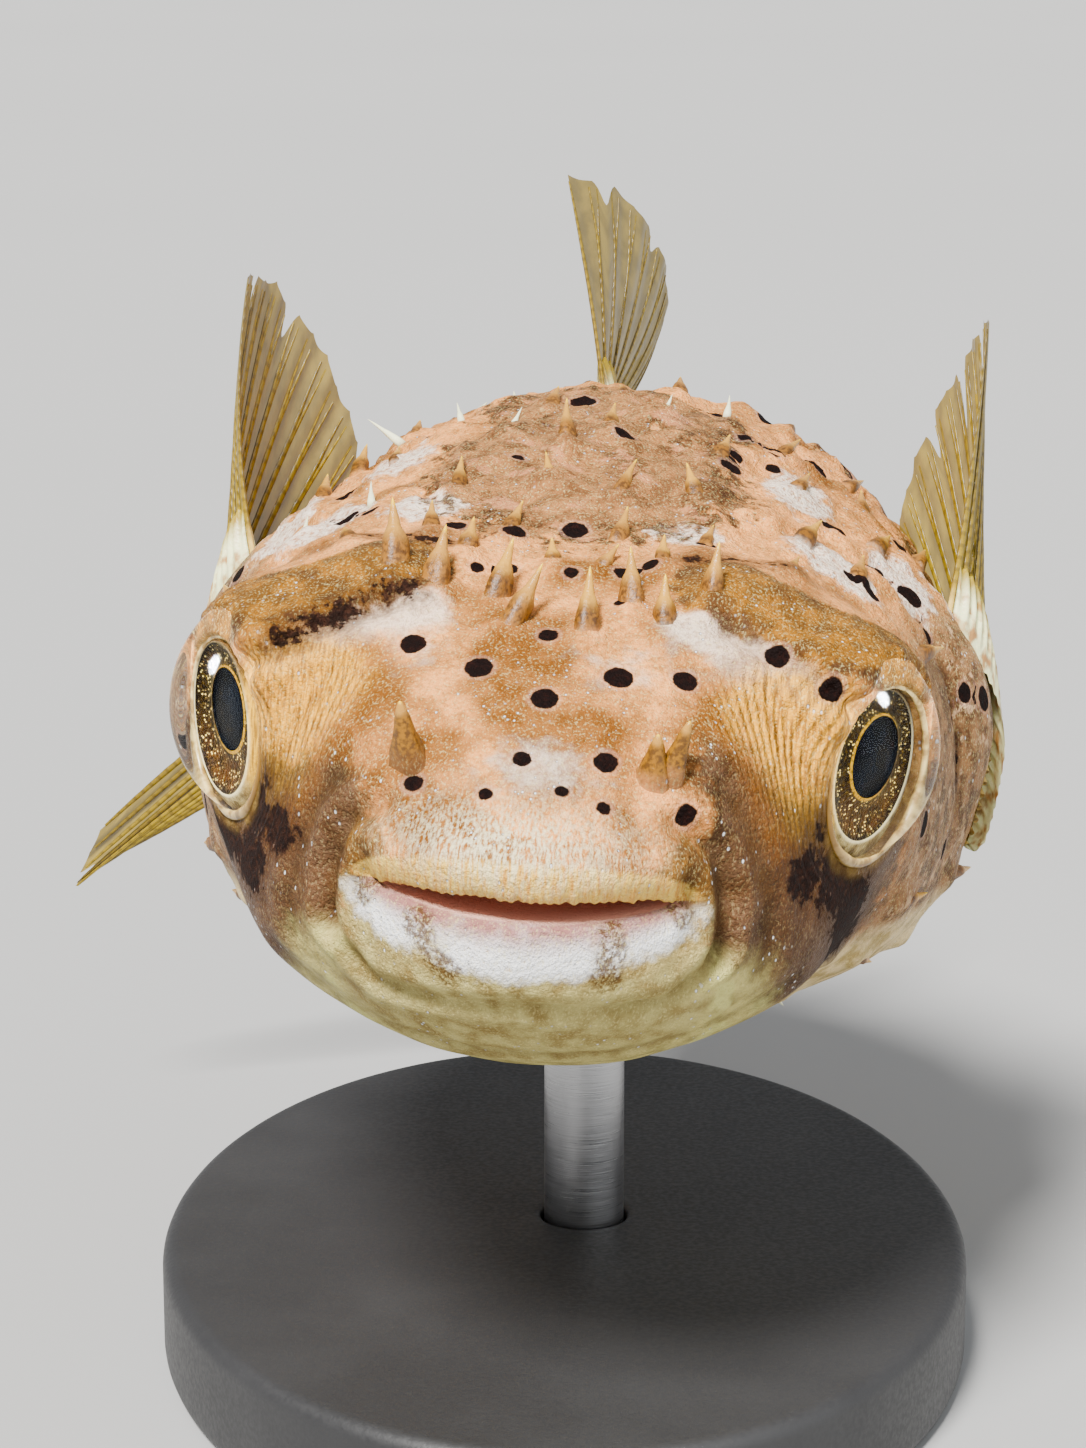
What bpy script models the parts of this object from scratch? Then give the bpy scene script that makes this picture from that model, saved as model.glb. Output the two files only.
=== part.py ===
"""Long-spined porcupinefish on a plain display stand, at life size. Metres, +Z up."""

import math

import bmesh
import bpy
import numpy as np

MM = 0.001

# Where the flesh is parted, in mm from the snout: behind the head, and before the tail.
CUTS = (38.5, 97.5)
# The stand's rod: its place on the floor, the height of its top, and where it
# meets the belly in the body's own frame (x, y).
ROD_BASE = (1.5, 2.0)
ROD_TOP = 33.0
ROD_AT = (0.0, 49.0)

# ---------------------------------------------------------------- body form
# Canonical frame, in millimetres: the fish lies straight along +Y with its
# snout at y = 0, its left side at +X and its back at +Z; z = 0 is eye level.
# Each station is one ring round the body, given by its side point (half-width,
# y), its top point (z, y), its bottom point (z, y), the level of its widest
# line and how square its upper and lower halves are.
STATIONS = [
    # name            side a,   y      top z,   y     bottom z,  y     mid z   top p  bottom p
    ("throat",        (1.5,    9.0),  (-4.8,   9.0),  (-5.5,    9.0),  -5.1,   2.0,   2.0),
    ("mouth_back",    (7.0,    8.2),  (-4.0,   7.0),  (-6.3,    7.0),  -5.1,   2.0,   2.0),
    ("gum",           (8.2,    6.0),  (-4.2,   3.0),  (-6.1,    2.8),  -5.1,   2.0,   2.0),
    ("lip_inner",     (8.8,    5.0),  (-4.6,   1.3),  (-6.0,    1.4),  -5.2,   1.9,   1.9),
    ("lip_edge",      (9.5,    4.6),  (-4.3,  -0.1),  (-6.2,    0.3),  -5.1,   2.0,   2.0),
    ("lip_crest",     (10.3,   4.6),  (-2.9,  -0.7),  (-7.6,    0.0),  -5.1,   2.1,   2.1),
    ("lip_outer",     (11.9,   6.1),  (-0.9,   0.4),  (-10.2,   0.9),  -5.2,   2.2,   2.2),
    ("muzzle",        (14.4,   8.9),  (1.5,    3.2),  (-13.4,   3.2),  -5.4,   2.2,   2.3),
    ("cheek_front",   (17.1,  12.8),  (5.0,    7.8),  (-16.8,   7.2),  -5.0,  2.4,   2.3),
    ("orbit_front",   (19.3,  16.6),  (7.9,   13.0),  (-19.2,  12.2),  -4.0,  2.7,   2.25),
    ("orbit",         (21.8,  21.2),  (10.3,  19.2),  (-20.5,  18.4),  -3.6,  3,     2.15),
    ("orbit_back",    (24.0,  27.6),  (12.8,  27.0),  (-21.5,  26.6),  -3.6,  2.7,   2.15),
    ("nape",          (26.2,  36.0),  (15.2,  36.0),  (-22.6,  36.0),  -4.4,   2.2,   2.8),
    ("pectoral",      (28.0,  46.0),  (16.9,  46.0),  (-23.4,  46.0),  -5.2,   1.88,  3.0),
    ("trunk",         (27.8,  56.0),  (17.4,  56.0),  (-23.2,  56.0),  -5.2,   1.85,  2.8),
    ("loin",          (24.0,  67.0),  (16.4,  67.0),  (-20.8,  67.0),  -3.4,   2.0,   2.2),
    ("dorsal_front",  (17.2,  78.0),  (13.6,  78.0),  (-16.4,  78.0),  -2.2,  2.1,   2.1),
    ("dorsal_back",   (11.4,  88.5),  (9.6,   88.5),  (-12.2,  88.5),  -2.0,  2.1,   2.1),
    ("peduncle",      (7.0,   98.0),  (5.6,   98.0),  (-9.2,   98.0),  -1.8,  2.1,   2.1),
    ("tail_root",     (4.4,  107.0),  (3.4,  107.0),  (-7.2,  107.0),  -1.8,  2.1,   2.1),
    ("hypural",       (2.8,  113.0),  (3.0,  113.0),  (-6.8,  113.0),  -1.9,  2.1,   2.1),
    ("tail_stop",     (1.4,  115.5),  (1.6,  115.5),  (-5.4,  115.5),  -1.9,  2.1,   2.1),
]
STATION = {row[0]: i for i, row in enumerate(STATIONS)}

# eyes: ball centre, ball radius, the way it looks, opening radius
EYE_CENTRE = np.array((18.3, 21.6, 0.0))
EYE_RADIUS = 6.9
EYE_AZIMUTH = math.radians(60)   # from straight ahead towards the fish's side
EYE_DROP = math.radians(3)
EYE_OPENING = 5.9
EYE_AXIS = np.array((math.sin(EYE_AZIMUTH) * math.cos(EYE_DROP),
                     -math.cos(EYE_AZIMUTH) * math.cos(EYE_DROP),
                     -math.sin(EYE_DROP)))


def spline_through(t, rows, at):
    """Natural cubic spline through rows at t, read at the values at."""
    t, rows, at = (np.asarray(x, float) for x in (t, rows, at))
    n, h = len(t), np.diff(t)
    a = np.zeros((n, n))
    b = np.zeros_like(rows)
    a[0, 0] = a[-1, -1] = 1.0
    for i in range(1, n - 1):
        a[i, i - 1 : i + 2] = h[i - 1], 2 * (h[i - 1] + h[i]), h[i]
        b[i] = 6 * ((rows[i + 1] - rows[i]) / h[i] - (rows[i] - rows[i - 1]) / h[i - 1])
    m = np.linalg.solve(a, b)
    k = np.clip(np.searchsorted(t, at, side="right") - 1, 0, n - 2)
    s, r, w = at - t[k], t[k + 1] - at, h[k]
    s, r, w = s[:, None], r[:, None], w[:, None]
    return (m[k] * r**3 + m[k + 1] * s**3) / (6 * w) + (rows[k] / w - m[k] * w / 6) * r + (rows[k + 1] / w - m[k + 1] * w / 6) * s


def smooth(x, low, high):
    """0 below low, 1 above high, and an even curve between. It runs downhill where low is the larger."""
    t = np.clip((x - low) / (high - low), 0, 1)
    return t * t * (3 - 2 * t)


def station_values():
    rows = np.array([(s[0], s[1], t[0], t[1], b[0], b[1], m, pt, pb) for _, s, t, b, m, pt, pb in STATIONS])
    steps = np.sqrt((np.diff(rows[:, :6], axis=0) ** 2).sum(1) / 3)
    return np.concatenate([[0], np.cumsum(steps)]), rows


STATION_AT, STATION_ROWS = station_values()


def along_of(name):
    return STATION_AT[STATION[name]]


def base_points(along, v):
    """Points of the plain body. along is the distance over the stations, and v the angle round, 0 at the fish's left and a quarter turn at its back. The two broadcast."""
    along, v = np.broadcast_arrays(np.asarray(along, float), np.asarray(v, float))
    level, where = np.unique(along, return_inverse=True)
    r = spline_through(STATION_AT, STATION_ROWS, level)[where.reshape(along.shape)]
    a, ys, zt, yt, zb, yb, mid, pt, pb = (r[..., i] for i in range(9))
    c, s = np.cos(v), np.sin(v)
    p = np.where(s >= 0, pt, pb)
    k = (np.abs(c) ** p + np.abs(s) ** p) ** (-1 / p)
    x = a * c * k
    z = mid + np.where(s >= 0, zt - mid, mid - zb) * s * k
    y = ys * c**2 + np.where(s >= 0, yt, yb) * s**2
    return np.stack([x, y, z], -1)


def base_normals(along, v, step=0.02):
    """Unit normals of the plain body, pointing out."""
    lo, hi = np.maximum(along - step, 0), np.minimum(along + step, STATION_AT[-1])
    n = np.cross(base_points(hi, v) - base_points(lo, v), base_points(along, v + 0.01) - base_points(along, v - 0.01))
    return n / np.maximum(np.linalg.norm(n, axis=-1, keepdims=True), 1e-12)


def skin_points(along, v):
    """Points of the body with its features, in the canonical frame."""
    along, v = np.broadcast_arrays(np.asarray(along, float), np.asarray(v, float))
    return body_features(base_points(along, v), base_normals(along, v))


def skin_normals(along, v, step=0.03):
    lo, hi = np.maximum(along - step, 0), np.minimum(along + step, STATION_AT[-1])
    n = np.cross(skin_points(hi, v) - skin_points(lo, v), skin_points(along, v + 0.012) - skin_points(along, v - 0.012))
    return n / np.maximum(np.linalg.norm(n, axis=-1, keepdims=True), 1e-12)


def along_at(y, v):
    """The distance over the stations where the line at angle v reaches y."""
    table = np.linspace(along_of("lip_crest"), STATION_AT[-1], 600)
    ys = np.maximum.accumulate(base_points(table, v)[..., 1])
    return float(np.interp(y, ys + np.arange(600) * 1e-7, table))


def bump(p, centre, size):
    """A soft mound: 1 at centre, falling off over size along x, y and z."""
    d = (p - np.array(centre)) / np.array(size)
    return np.exp(-(d**2).sum(-1))


def mirrored(p):
    """The points with x made positive, for features that both sides share."""
    q = p.copy()
    q[..., 0] = np.abs(q[..., 0])
    return q


def orbit_shift(q):
    """How far points of one side move along the eye's axis to meet the eye: down under the ball inside the opening, a thin lid fold round it, and a brow that overhangs it above."""
    d = q - EYE_CENTRE
    axial = d @ EYE_AXIS
    flat = d - axial[..., None] * EYE_AXIS
    r = np.linalg.norm(flat, axis=-1)
    up = flat[..., 2] / np.maximum(r, 1e-6)
    back = -(flat[..., :2] @ np.array((EYE_AXIS[1], -EYE_AXIS[0]))) / np.maximum(r, 1e-6)
    above = smooth(up, 0.2, 0.95)
    # the lid's edge stands on the ball, and its fold a little proud of it
    ball = np.sqrt(np.maximum(EYE_RADIUS**2 - np.minimum(r, EYE_RADIUS) ** 2, 0))
    sink = np.minimum(ball - 1.4, 1.6)
    lid = 3.55 + 0.35 * above
    inside = smooth(r, EYE_OPENING + 0.25, EYE_OPENING - 0.55)
    target = lid * (1 - inside) + sink * inside
    reach = 9.0 + 2.2 * above
    hold = 6.5 + 1.4 * above
    w = smooth(r, reach, hold)
    w = w * smooth(axial, -7.0, -2.5)
    return (target - axial) * w, r, axial


def body_features(p, n):
    """Brows, lids, cheeks, the fleshy fin bases and the gill slits, added to the plain body."""
    q = mirrored(p)
    side = np.where(p[..., :1] >= 0, 1.0, -1.0)
    h = 1.9 * bump(q, (13.0, 21.5, 9.0), (6.0, 5.5, 7.0))            # brow ridge
    h = h + 0.9 * bump(q, (9.5, 9.5, 1.5), (3.2, 3.6, 3.6))           # nasal swelling
    h = h + 1.0 * bump(q, (17.5, 15.0, -11.5), (5.0, 6.0, 5.0))       # cheek below the eye
    h = h + 1.6 * bump(q, (26.5, 47.5, 0.0), (9.0, 4.6, 8.6))         # fleshy base of the pectoral fin
    h = h - 1.0 * bump(q, (26.0, 41.2, -1.0), (9.0, 1.5, 7.5))        # gill slit in front of it
    h = h + 1.2 * bump(q, (0.0, 84.0, 11.0), (3.2, 6.5, 5.0))         # fleshy base of the dorsal fin
    h = h + 1.2 * bump(q, (0.0, 85.0, -13.0), (3.2, 6.5, 5.0))        # and of the anal fin
    out = p + n * h[..., None]
    q = mirrored(out)
    shift, _, _ = orbit_shift(q)
    axis = EYE_AXIS * np.array((1.0, 1.0, 1.0))
    move = shift[..., None] * axis
    move[..., :1] *= side
    return out + move


# ---------------------------------------------------------------- pose
# The body's line bends: turn is to the fish's right and dip is downwards, both
# in degrees at a distance y from the snout.
BEND = [  # y, turn, dip
    (-5, 0.0, 0.0), (22, 0.0, 0.0), (40, -2.5, 0.0), (54, -3.5, 0.0), (66, 1.0, 1.0), (78, 18.0, 6.0),
    (90, 50.0, 18.0), (102, 80.0, 30.0), (114, 98.0, 36.0), (150, 100.0, 36.0),
]
YAW, PITCH, ROLL = math.radians(-4.8), math.radians(0.0), math.radians(3.2)
EYE_LEVEL = 52.0            # height of the eyes' line over the floor
EYES_AT = (-1.0, -26.0)     # x, y of the point midway between the eyes


def bend_frames():
    step = 0.25
    y = np.arange(-5, 150 + step, step)
    angles = spline_through([b[0] for b in BEND], [b[1:] for b in BEND], y)
    turn, dip = np.radians(angles[:, 0]), np.radians(angles[:, 1])
    turn = np.where(y < 22, 0, turn)
    dip = np.where(y < 55, 0, dip)
    ahead = np.stack([-np.sin(turn) * np.cos(dip), np.cos(turn) * np.cos(dip), -np.sin(dip)], -1)
    left = np.stack([np.cos(turn), np.sin(turn), np.zeros_like(turn)], -1)
    up = np.cross(left, ahead)
    mid = (ahead[1:] + ahead[:-1]) / 2
    line = np.concatenate([[[0, -5, 0]], [0, -5, 0] + np.cumsum(mid * step, axis=0)])
    return y, line, ahead, left, up


BEND_Y, BEND_LINE, BEND_AHEAD, BEND_LEFT, BEND_UP = bend_frames()


def rotation(yaw, pitch, roll):
    cy, sy, cp, sp, cr, sr = (f(a) for a in (yaw, pitch, roll) for f in (math.cos, math.sin))
    about_z = np.array(((cy, -sy, 0), (sy, cy, 0), (0, 0, 1)))
    about_x = np.array(((1, 0, 0), (0, cp, -sp), (0, sp, cp)))
    about_y = np.array(((cr, 0, sr), (0, 1, 0), (-sr, 0, cr)))
    return about_z @ about_x @ about_y


TURN = rotation(YAW, PITCH, ROLL)
EYES_MID = np.array((0.0, EYE_CENTRE[1], EYE_CENTRE[2]))


def read_frame(y):
    f = lambda rows: np.stack([np.interp(y, BEND_Y, rows[:, i]) for i in range(3)], -1)
    ahead, left = f(BEND_AHEAD), f(BEND_LEFT)
    up = f(BEND_UP)
    return f(BEND_LINE), ahead, left, up


def posed(p):
    """Canonical points in mm, bent, turned and set over the stand, in metres."""
    line, _, left, up = read_frame(p[..., 1])
    q = line + left * p[..., :1] + up * p[..., 2:3]
    q = (q - EYES_MID) @ TURN.T + np.array((EYES_AT[0], EYES_AT[1], EYE_LEVEL))
    return q * MM


def posed_direction(p, d):
    """Unit direction d at canonical points p, in the posed body."""
    _, ahead, left, up = read_frame(p[..., 1])
    w = left * d[..., :1] + ahead * d[..., 1:2] + up * d[..., 2:3]
    w = w @ TURN.T
    return w / np.linalg.norm(w, axis=-1, keepdims=True)


# ---------------------------------------------------------------- fins
# A fin is a fan of rays. t runs over the rays from the leading one to the
# last, and s along a ray from its root to its tip. Each fin gives its roots on
# the body, and each ray's way and length, in the frame of the body there.
FIN_RAYS = {"pectoral_fin_left": 20, "pectoral_fin_right": 20, "dorsal_fin": 13, "anal_fin": 13, "caudal_fin": 9}


def mix(t, *stops):
    """A smooth value through (t, value) stops, where a value can be a tuple."""
    at = np.array([k for k, _ in stops], float)
    rows = np.array([np.atleast_1d(r) for _, r in stops], float)
    shape = np.shape(t)
    return spline_through(at, rows, np.ravel(t)).reshape(*shape, -1)


def unit(d):
    return d / np.linalg.norm(d, axis=-1, keepdims=True)


def fin_plan(name, t):
    """(root, way, sweep, length) of the rays at t: root in the canonical frame, way and sweep as canonical directions at the fin's middle, length in mm."""
    t = np.asarray(t, float)
    if name.startswith("pectoral"):
        side = 1.0 if name.endswith("left") else -1.0
        v = np.radians(mix(t, (0, 27), (0.5, 6), (1, -20))[..., 0])
        y = mix(t, (0, 48.2), (0.5, 50.6), (1, 48.8))[..., 0]
        along = np.array([along_at(a, b) for a, b in zip(np.ravel(y), np.ravel(v))]).reshape(t.shape)
        root = skin_points(along, v)
        open_up = 0.27 if side < 0 else 0.06
        way = unit(mix(t, (0, (0.03 + open_up, 0.30, 0.95)), (0.3, (-0.10 + 0.6 * open_up, 0.48, 0.88)), (0.65, (-0.30, 0.70, 0.66)), (1, (-0.40, 0.88, 0.26))))
        sweep = mix(t, (0, (-0.02 - 0.55 * open_up, 0.05, 0.05)), (0.5, (-0.10, 0.05, 0.12)), (1, (-0.10, 0.0, 0.16)))
        length = mix(t, (0, 20.2), (0.12, 21.8), (0.35, 22.4), (0.7, 19.4), (1, 13.0))[..., 0]
        mirror = np.array((side, 1.0, 1.0))
        return root * mirror, way * mirror, sweep * mirror, length
    if name == "dorsal_fin":
        y = 79.5 + 11.5 * t
        v = math.pi / 2 - 0.42 * t
        along = np.array([along_at(a, b) for a, b in zip(np.ravel(y), np.ravel(v))]).reshape(t.shape)
        root = skin_points(along, v)
        way = unit(mix(t, (0, (0.0, 0.12, 0.99)), (0.4, (0.60, 0.16, 0.80)), (0.75, (0.88, 0.08, 0.47)), (1, (0.93, 0.04, 0.36))))
        sweep = mix(t, (0, (-0.03, 0.05, 0.0)), (0.4, (-0.12, 0.04, 0.02)), (0.75, (-0.26, 0.04, 0.16)), (1, (-0.32, 0.04, 0.26)))
        length = mix(t, (0, 19.0), (0.2, 19.6), (0.5, 18.6), (0.75, 16.8), (1, 14.0))[..., 0]
        return root, way, sweep, length
    if name == "anal_fin":
        y = 80.5 + 10.5 * t
        along = np.array([along_at(a, -math.pi / 2) for a in np.ravel(y)]).reshape(t.shape)
        root = skin_points(along, np.full(t.shape, -math.pi / 2))
        way = unit(mix(t, (0, (0.05, 0.42, -0.90)), (0.4, (0.16, 0.62, -0.78)), (0.75, (0.24, 0.8, -0.56)), (1, (0.28, 0.92, -0.32))))
        sweep = mix(t, (0, (-0.03, 0.08, 0.0)), (1, (0.08, 0.06, 0.05)))
        length = mix(t, (0, 17.5), (0.15, 18.5), (0.4, 17.5), (0.7, 13.5), (1, 7.5))[..., 0]
        return root, way, sweep, length
    # caudal: folded to a narrow paddle, with its uppermost rays a little open
    z = mix(t, (0, 1.3), (1, -4.6))[..., 0]
    root = np.stack([np.zeros_like(t), np.full_like(t, 114.6), z], -1)
    way = unit(mix(t, (0, (0.0, 0.99, -0.07)), (0.3, (0.0, 0.99, -0.10)), (0.6, (0.0, 0.995, -0.07)), (1, (0.0, 1.0, 0.01))))
    sweep = mix(t, (0, (0.02, 0.0, -0.05)), (1, (0.04, 0.0, 0.02)))
    length = mix(t, (0, 21.5), (0.3, 25.6), (0.6, 26.6), (1, 24.6))[..., 0]
    return root, way, sweep, length


FIN_MIDDLE = {"pectoral_fin_left": 48.5, "pectoral_fin_right": 48.5, "dorsal_fin": 84.5, "anal_fin": 85.0, "caudal_fin": 114.6}


def fin_points(name, t, s):
    """Posed points of a fin, in metres, at t and s, which broadcast."""
    t, s = np.broadcast_arrays(np.asarray(t, float), np.asarray(s, float))
    level, where = np.unique(t, return_inverse=True)
    root, way, sweep, length = fin_plan(name, level)
    at = np.zeros((len(level), 3))
    at[:, 1] = FIN_MIDDLE[name]
    start = posed(root)
    way, sweep_w = posed_direction(at, way), turned(at, sweep)
    pick = lambda rows: rows[where.reshape(t.shape)]
    run = (pick(length) * s)[..., None]
    return pick(start) + (pick(way) * run + pick(sweep_w) * run * s[..., None]) * MM


def turned(p, d):
    """Canonical vectors d at canonical points p, in the posed body, with their length kept."""
    size = np.linalg.norm(d, axis=-1, keepdims=True)
    return posed_direction(p, d + 1e-12) * size


# ---------------------------------------------------------------- spines
# Rows of spines run round the body. Each row is given by its distance from the
# snout, the angles it covers from the back's midline on each side, the step
# between its spines, their length and how far they lie back from upright.
SPINE_ROWS = [  # y, from, to, step (degrees), length (mm), lie-back (degrees)
    (26.4, 9.0, 50.0, 13.0, 3.8, 72), (33.4, 4.8, 62.0, 14.0, 4.6, 70),
    (45.2, 1.0, 66.0, 15.0, 4.2, 73), (51.5, 9.0, 124.0, 16.0, 4.8, 70),
    (57.5, 1.0, 170.0, 18.0, 4.6, 72), (63.5, 10.0, 170.0, 19.0, 4.6, 72), (69.5, 1.0, 170.0, 21.0, 4.4, 72),
    (75.5, 12.0, 160.0, 24.0, 4.2, 72), (82.0, 30.0, 150.0, 30.0, 4.0, 72), (88.5, 34.0, 150.0, 36.0, 3.8, 72),
    (94.0, 22.0, 150.0, 44.0, 3.4, 72),
    (26.0, 126.0, 172.0, 19.0, 3.2, 74), (33.0, 116.0, 172.0, 14.0, 3.4, 74), (45.2, 116.0, 172.0, 15.0, 3.8, 73),
]


# The crown of tall spines between the brows, and a few more of their own on
# the back: distance from the snout, angle from the midline (plus is the left),
# length (mm), lie-back (degrees) and lean towards the right.
CROWN_SPINES = [
    (19.8, -26.5, 5.2, 54, 0.10), (18.6, -20.5, 4.6, 54, 0.05), (23.1, -15.8, 3.2, 56, 0.0), (17.9, -10.9, 4.8, 50, -0.19),
    (15.3, -8.4, 5.0, 50, -0.70), (22.7, -1.6, 2.4, 56, 0.18), (14.9, 6.1, 5.0, 50, 0.0), (14.6, 11.2, 4.2, 50, 0.18),
    (22.4, 5.4, 2.6, 56, -0.6), (18.2, 13.0, 4.5, 50, 0.08), (16.3, 19.4, 3.9, 50, 0.15), (23.4, 15.5, 2.8, 58, 0.0),
    (19.1, 24.8, 4.2, 50, -0.11), (42.2, -4.2, 4.6, 58, 0.18), (34.9, 17.6, 3.4, 58, 0.49), (34.4, -4.6, 3.0, 58, 0.27),
    (52.5, -33.0, 5.8, 50, 0.80),
]


def spine_list():
    """(root, way, length, lie) of every spine: canonical root and unit way, with the length in mm."""
    chance = np.random.RandomState(41)
    at_y, at_v, length, lie, lean = [], [], [], [], []
    for y, angle, size, back, tilt in CROWN_SPINES:
        at_y.append(y)
        at_v.append(math.radians(90.0 - angle))
        length.append(size)
        lie.append(math.radians(back))
        lean.append(tilt)
    for y, low, high, step, size, back in SPINE_ROWS:
        for side in (1, -1):
            a = low
            while a <= high:
                shift = chance.uniform(-1, 1, 5)
                at_y.append(y + 0.9 * shift[0])
                at_v.append(math.pi / 2 - side * math.radians(a + 0.14 * step * shift[1]))
                length.append(size * (1 + 0.16 * shift[2]))
                lie.append(math.radians(back + 5 * shift[3]))
                lean.append(0.24 * shift[4])
                a += step
    at_y, at_v, length, lie, lean = (np.array(x) for x in (at_y, at_v, length, lie, lean))
    along = np.array([along_at(y, v) for y, v in zip(at_y, at_v)])
    root, normal = skin_points(along, at_v), skin_normals(along, at_v)
    tail = np.array((0.0, 1.0, 0.0)) - normal * normal[:, 1:2]
    tail /= np.linalg.norm(tail, axis=-1, keepdims=True)
    tail = unit(tail + np.cross(normal, tail) * lean[:, None])
    way = normal * np.cos(lie)[:, None] + tail * np.sin(lie)[:, None]
    # none where the eyes, the fins, the gill slits and the cuts between the parts are
    keep = np.linalg.norm(mirrored(root) - EYE_CENTRE, axis=-1) > 12.0
    line = posed(root[:, None] + way[:, None] * (length[:, None] * np.linspace(0, 1, 5))[..., None])
    for name in FIN_RAYS:
        sheet = fin_points(name, np.linspace(0, 1, 24)[:, None], np.linspace(0, 1, 20)[None, :]).reshape(-1, 3)
        gap = np.linalg.norm(line[:, :, None] - sheet, axis=-1).min(axis=(1, 2))
        keep &= gap > 2.2 * MM
    for cut in CUTS:
        keep &= np.abs(root[:, 1] - cut) > 1.6
    q = mirrored(root)
    keep &= ~((np.abs(q[:, 1] - 41.2) < 2.0) & (np.abs(q[:, 2] + 1.0) < 9.0) & (q[:, 0] > 18))
    keep &= np.linalg.norm(root[:, :2] - np.array(ROD_AT), axis=-1) + np.where(root[:, 2] < -10, 0, 99) > 5.5
    keep &= root[:, 1] < 97.0
    # and none so close to another that their feet meet
    chosen = []
    for i in np.flatnonzero(keep):
        if all(np.linalg.norm(root[i] - root[j]) > 2.35 for j in chosen):
            chosen.append(i)
    return root[chosen], way[chosen], length[chosen], normal[chosen]


NOSTRIL = (19.3, math.radians(61.0))    # place of a nasal tentacle: distance over the stations, angle
NOSTRIL_SIZE = (1.5, 4.3)               # radius at its foot, and height


def nostril_tubes():
    """(root, way, normal) of the two nasal tentacles, which stand up and lean a little ahead."""
    out = []
    for side in (1, -1):
        v = math.pi / 2 - side * (math.pi / 2 - NOSTRIL[1])
        a, b = np.array([NOSTRIL[0]]), np.array([v])
        root, normal = skin_points(a, b)[0], skin_normals(a, b)[0]
        way = unit(normal * 0.55 + np.array((side * 0.05, 0.10, 0.80)))
        out.append((root, way, normal))
    return out


# ---------------------------------------------------------------- sizes of the solids
GAP = 0.3                       # between parts, mm
SEGMENTS = 32                   # round the body
SPINE_RADIUS = 0.9              # at the skin
SPINE_FOOT = 0.9                # depth of a spine's foot inside the skin
FIN_THICKNESS = (2.0, 0.9, 0.55)  # at the root, at a fifth of the length and at the edge
FIN_ROOT = 1.4                  # how far a fin's sheet starts inside the body before it is trimmed
BASE_HALF = (30.0, 41.0)        # half sizes of the oval base
BASE_THICKNESS = 8.0
BASE_CORNER = 1.2
ROD_RADIUS = 3.0
ROD_SINK = 5.0                  # how far the rod goes down into the base
ROD_RISE = 4.0                  # and how far it reaches up into the belly

SKIN = (0.56, 0.36, 0.20)
IRIS = (0.05, 0.035, 0.03)
FIN = (0.50, 0.42, 0.17)
STAND = (0.03, 0.03, 0.033)
ROD = (0.42, 0.42, 0.43)


def material(name, colour, roughness, metallic=0.0):
    made = bpy.data.materials.new(name)
    made.use_nodes = True
    shader = made.node_tree.nodes["Principled BSDF"]
    shader.inputs["Base Color"].default_value = (*colour, 1.0)
    shader.inputs["Roughness"].default_value = roughness
    shader.inputs["Metallic"].default_value = metallic
    made.diffuse_color = (*colour, 1.0)
    return made


def new_object(name, points, faces, made=None, smooth_shading=True):
    """An object from points in metres, with its faces turned outwards."""
    mesh = bpy.data.meshes.new(name)
    mesh.from_pydata([tuple(p) for p in points], [], [tuple(int(i) for i in f) for f in faces])
    work = bmesh.new()
    work.from_mesh(mesh)
    bmesh.ops.recalc_face_normals(work, faces=work.faces)
    if work.calc_volume(signed=True) < 0:
        bmesh.ops.reverse_faces(work, faces=work.faces)
    work.to_mesh(mesh)
    work.free()
    if smooth_shading:
        mesh.shade_smooth()
    if made:
        mesh.materials.append(made)
    thing = bpy.data.objects.new(name, mesh)
    bpy.context.scene.collection.objects.link(thing)
    return thing


def cutter(name, points, faces):
    thing = new_object(name, points, faces, None, False)
    thing.hide_render = True
    thing.display_type = "WIRE"
    return thing


def boolean(thing, other, operation):
    step = thing.modifiers.new(other.name, "BOOLEAN")
    step.object = other
    step.operation = operation
    step.solver = "EXACT"


def tube_faces(rings, segments):
    """Faces over rings of points, with a centre point before the first ring and after the last."""
    faces = []
    for i in range(rings - 1):
        for j in range(segments):
            a, b = 1 + i * segments + j, 1 + i * segments + (j + 1) % segments
            faces.append((a, b, b + segments, a + segments))
    last = 1 + (rings - 1) * segments
    for j in range(segments):
        k = (j + 1) % segments
        faces.append((0, 1 + k, 1 + j))
        faces.append((last + segments, last + j, last + k))
    return faces


def body_part(name, along, made, inflate=0.0, segments=SEGMENTS):
    """A length of the body with flat ends, over the rings at along."""
    v = 2 * math.pi * np.arange(segments) / segments
    along = np.asarray(along, float)
    p = skin_points(along[:, None], v[None, :])
    if inflate:
        p = p + skin_normals(along[:, None], v[None, :]) * inflate
    w = posed(p)
    points = np.concatenate([w[0].mean(axis=0)[None], w.reshape(-1, 3), w[-1].mean(axis=0)[None]])
    faces = tube_faces(len(along), segments)
    if made is None:
        return cutter(name, points, faces)
    return new_object(name, points, faces, made)


def rings_over(stops):
    """Ring places from (station name or distance, number of steps to the next) stops."""
    places = []
    at = [along_of(s) if isinstance(s, str) else s for s, _ in stops]
    for i, (_, steps) in enumerate(stops[:-1]):
        places.extend(at[i] + (at[i + 1] - at[i]) * np.arange(steps) / steps)
    return np.array(places + [at[-1]])


def along_plane(y):
    """The distance over the stations of the flat ring at y, behind the head."""
    return along_at(y, 0.0)


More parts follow.
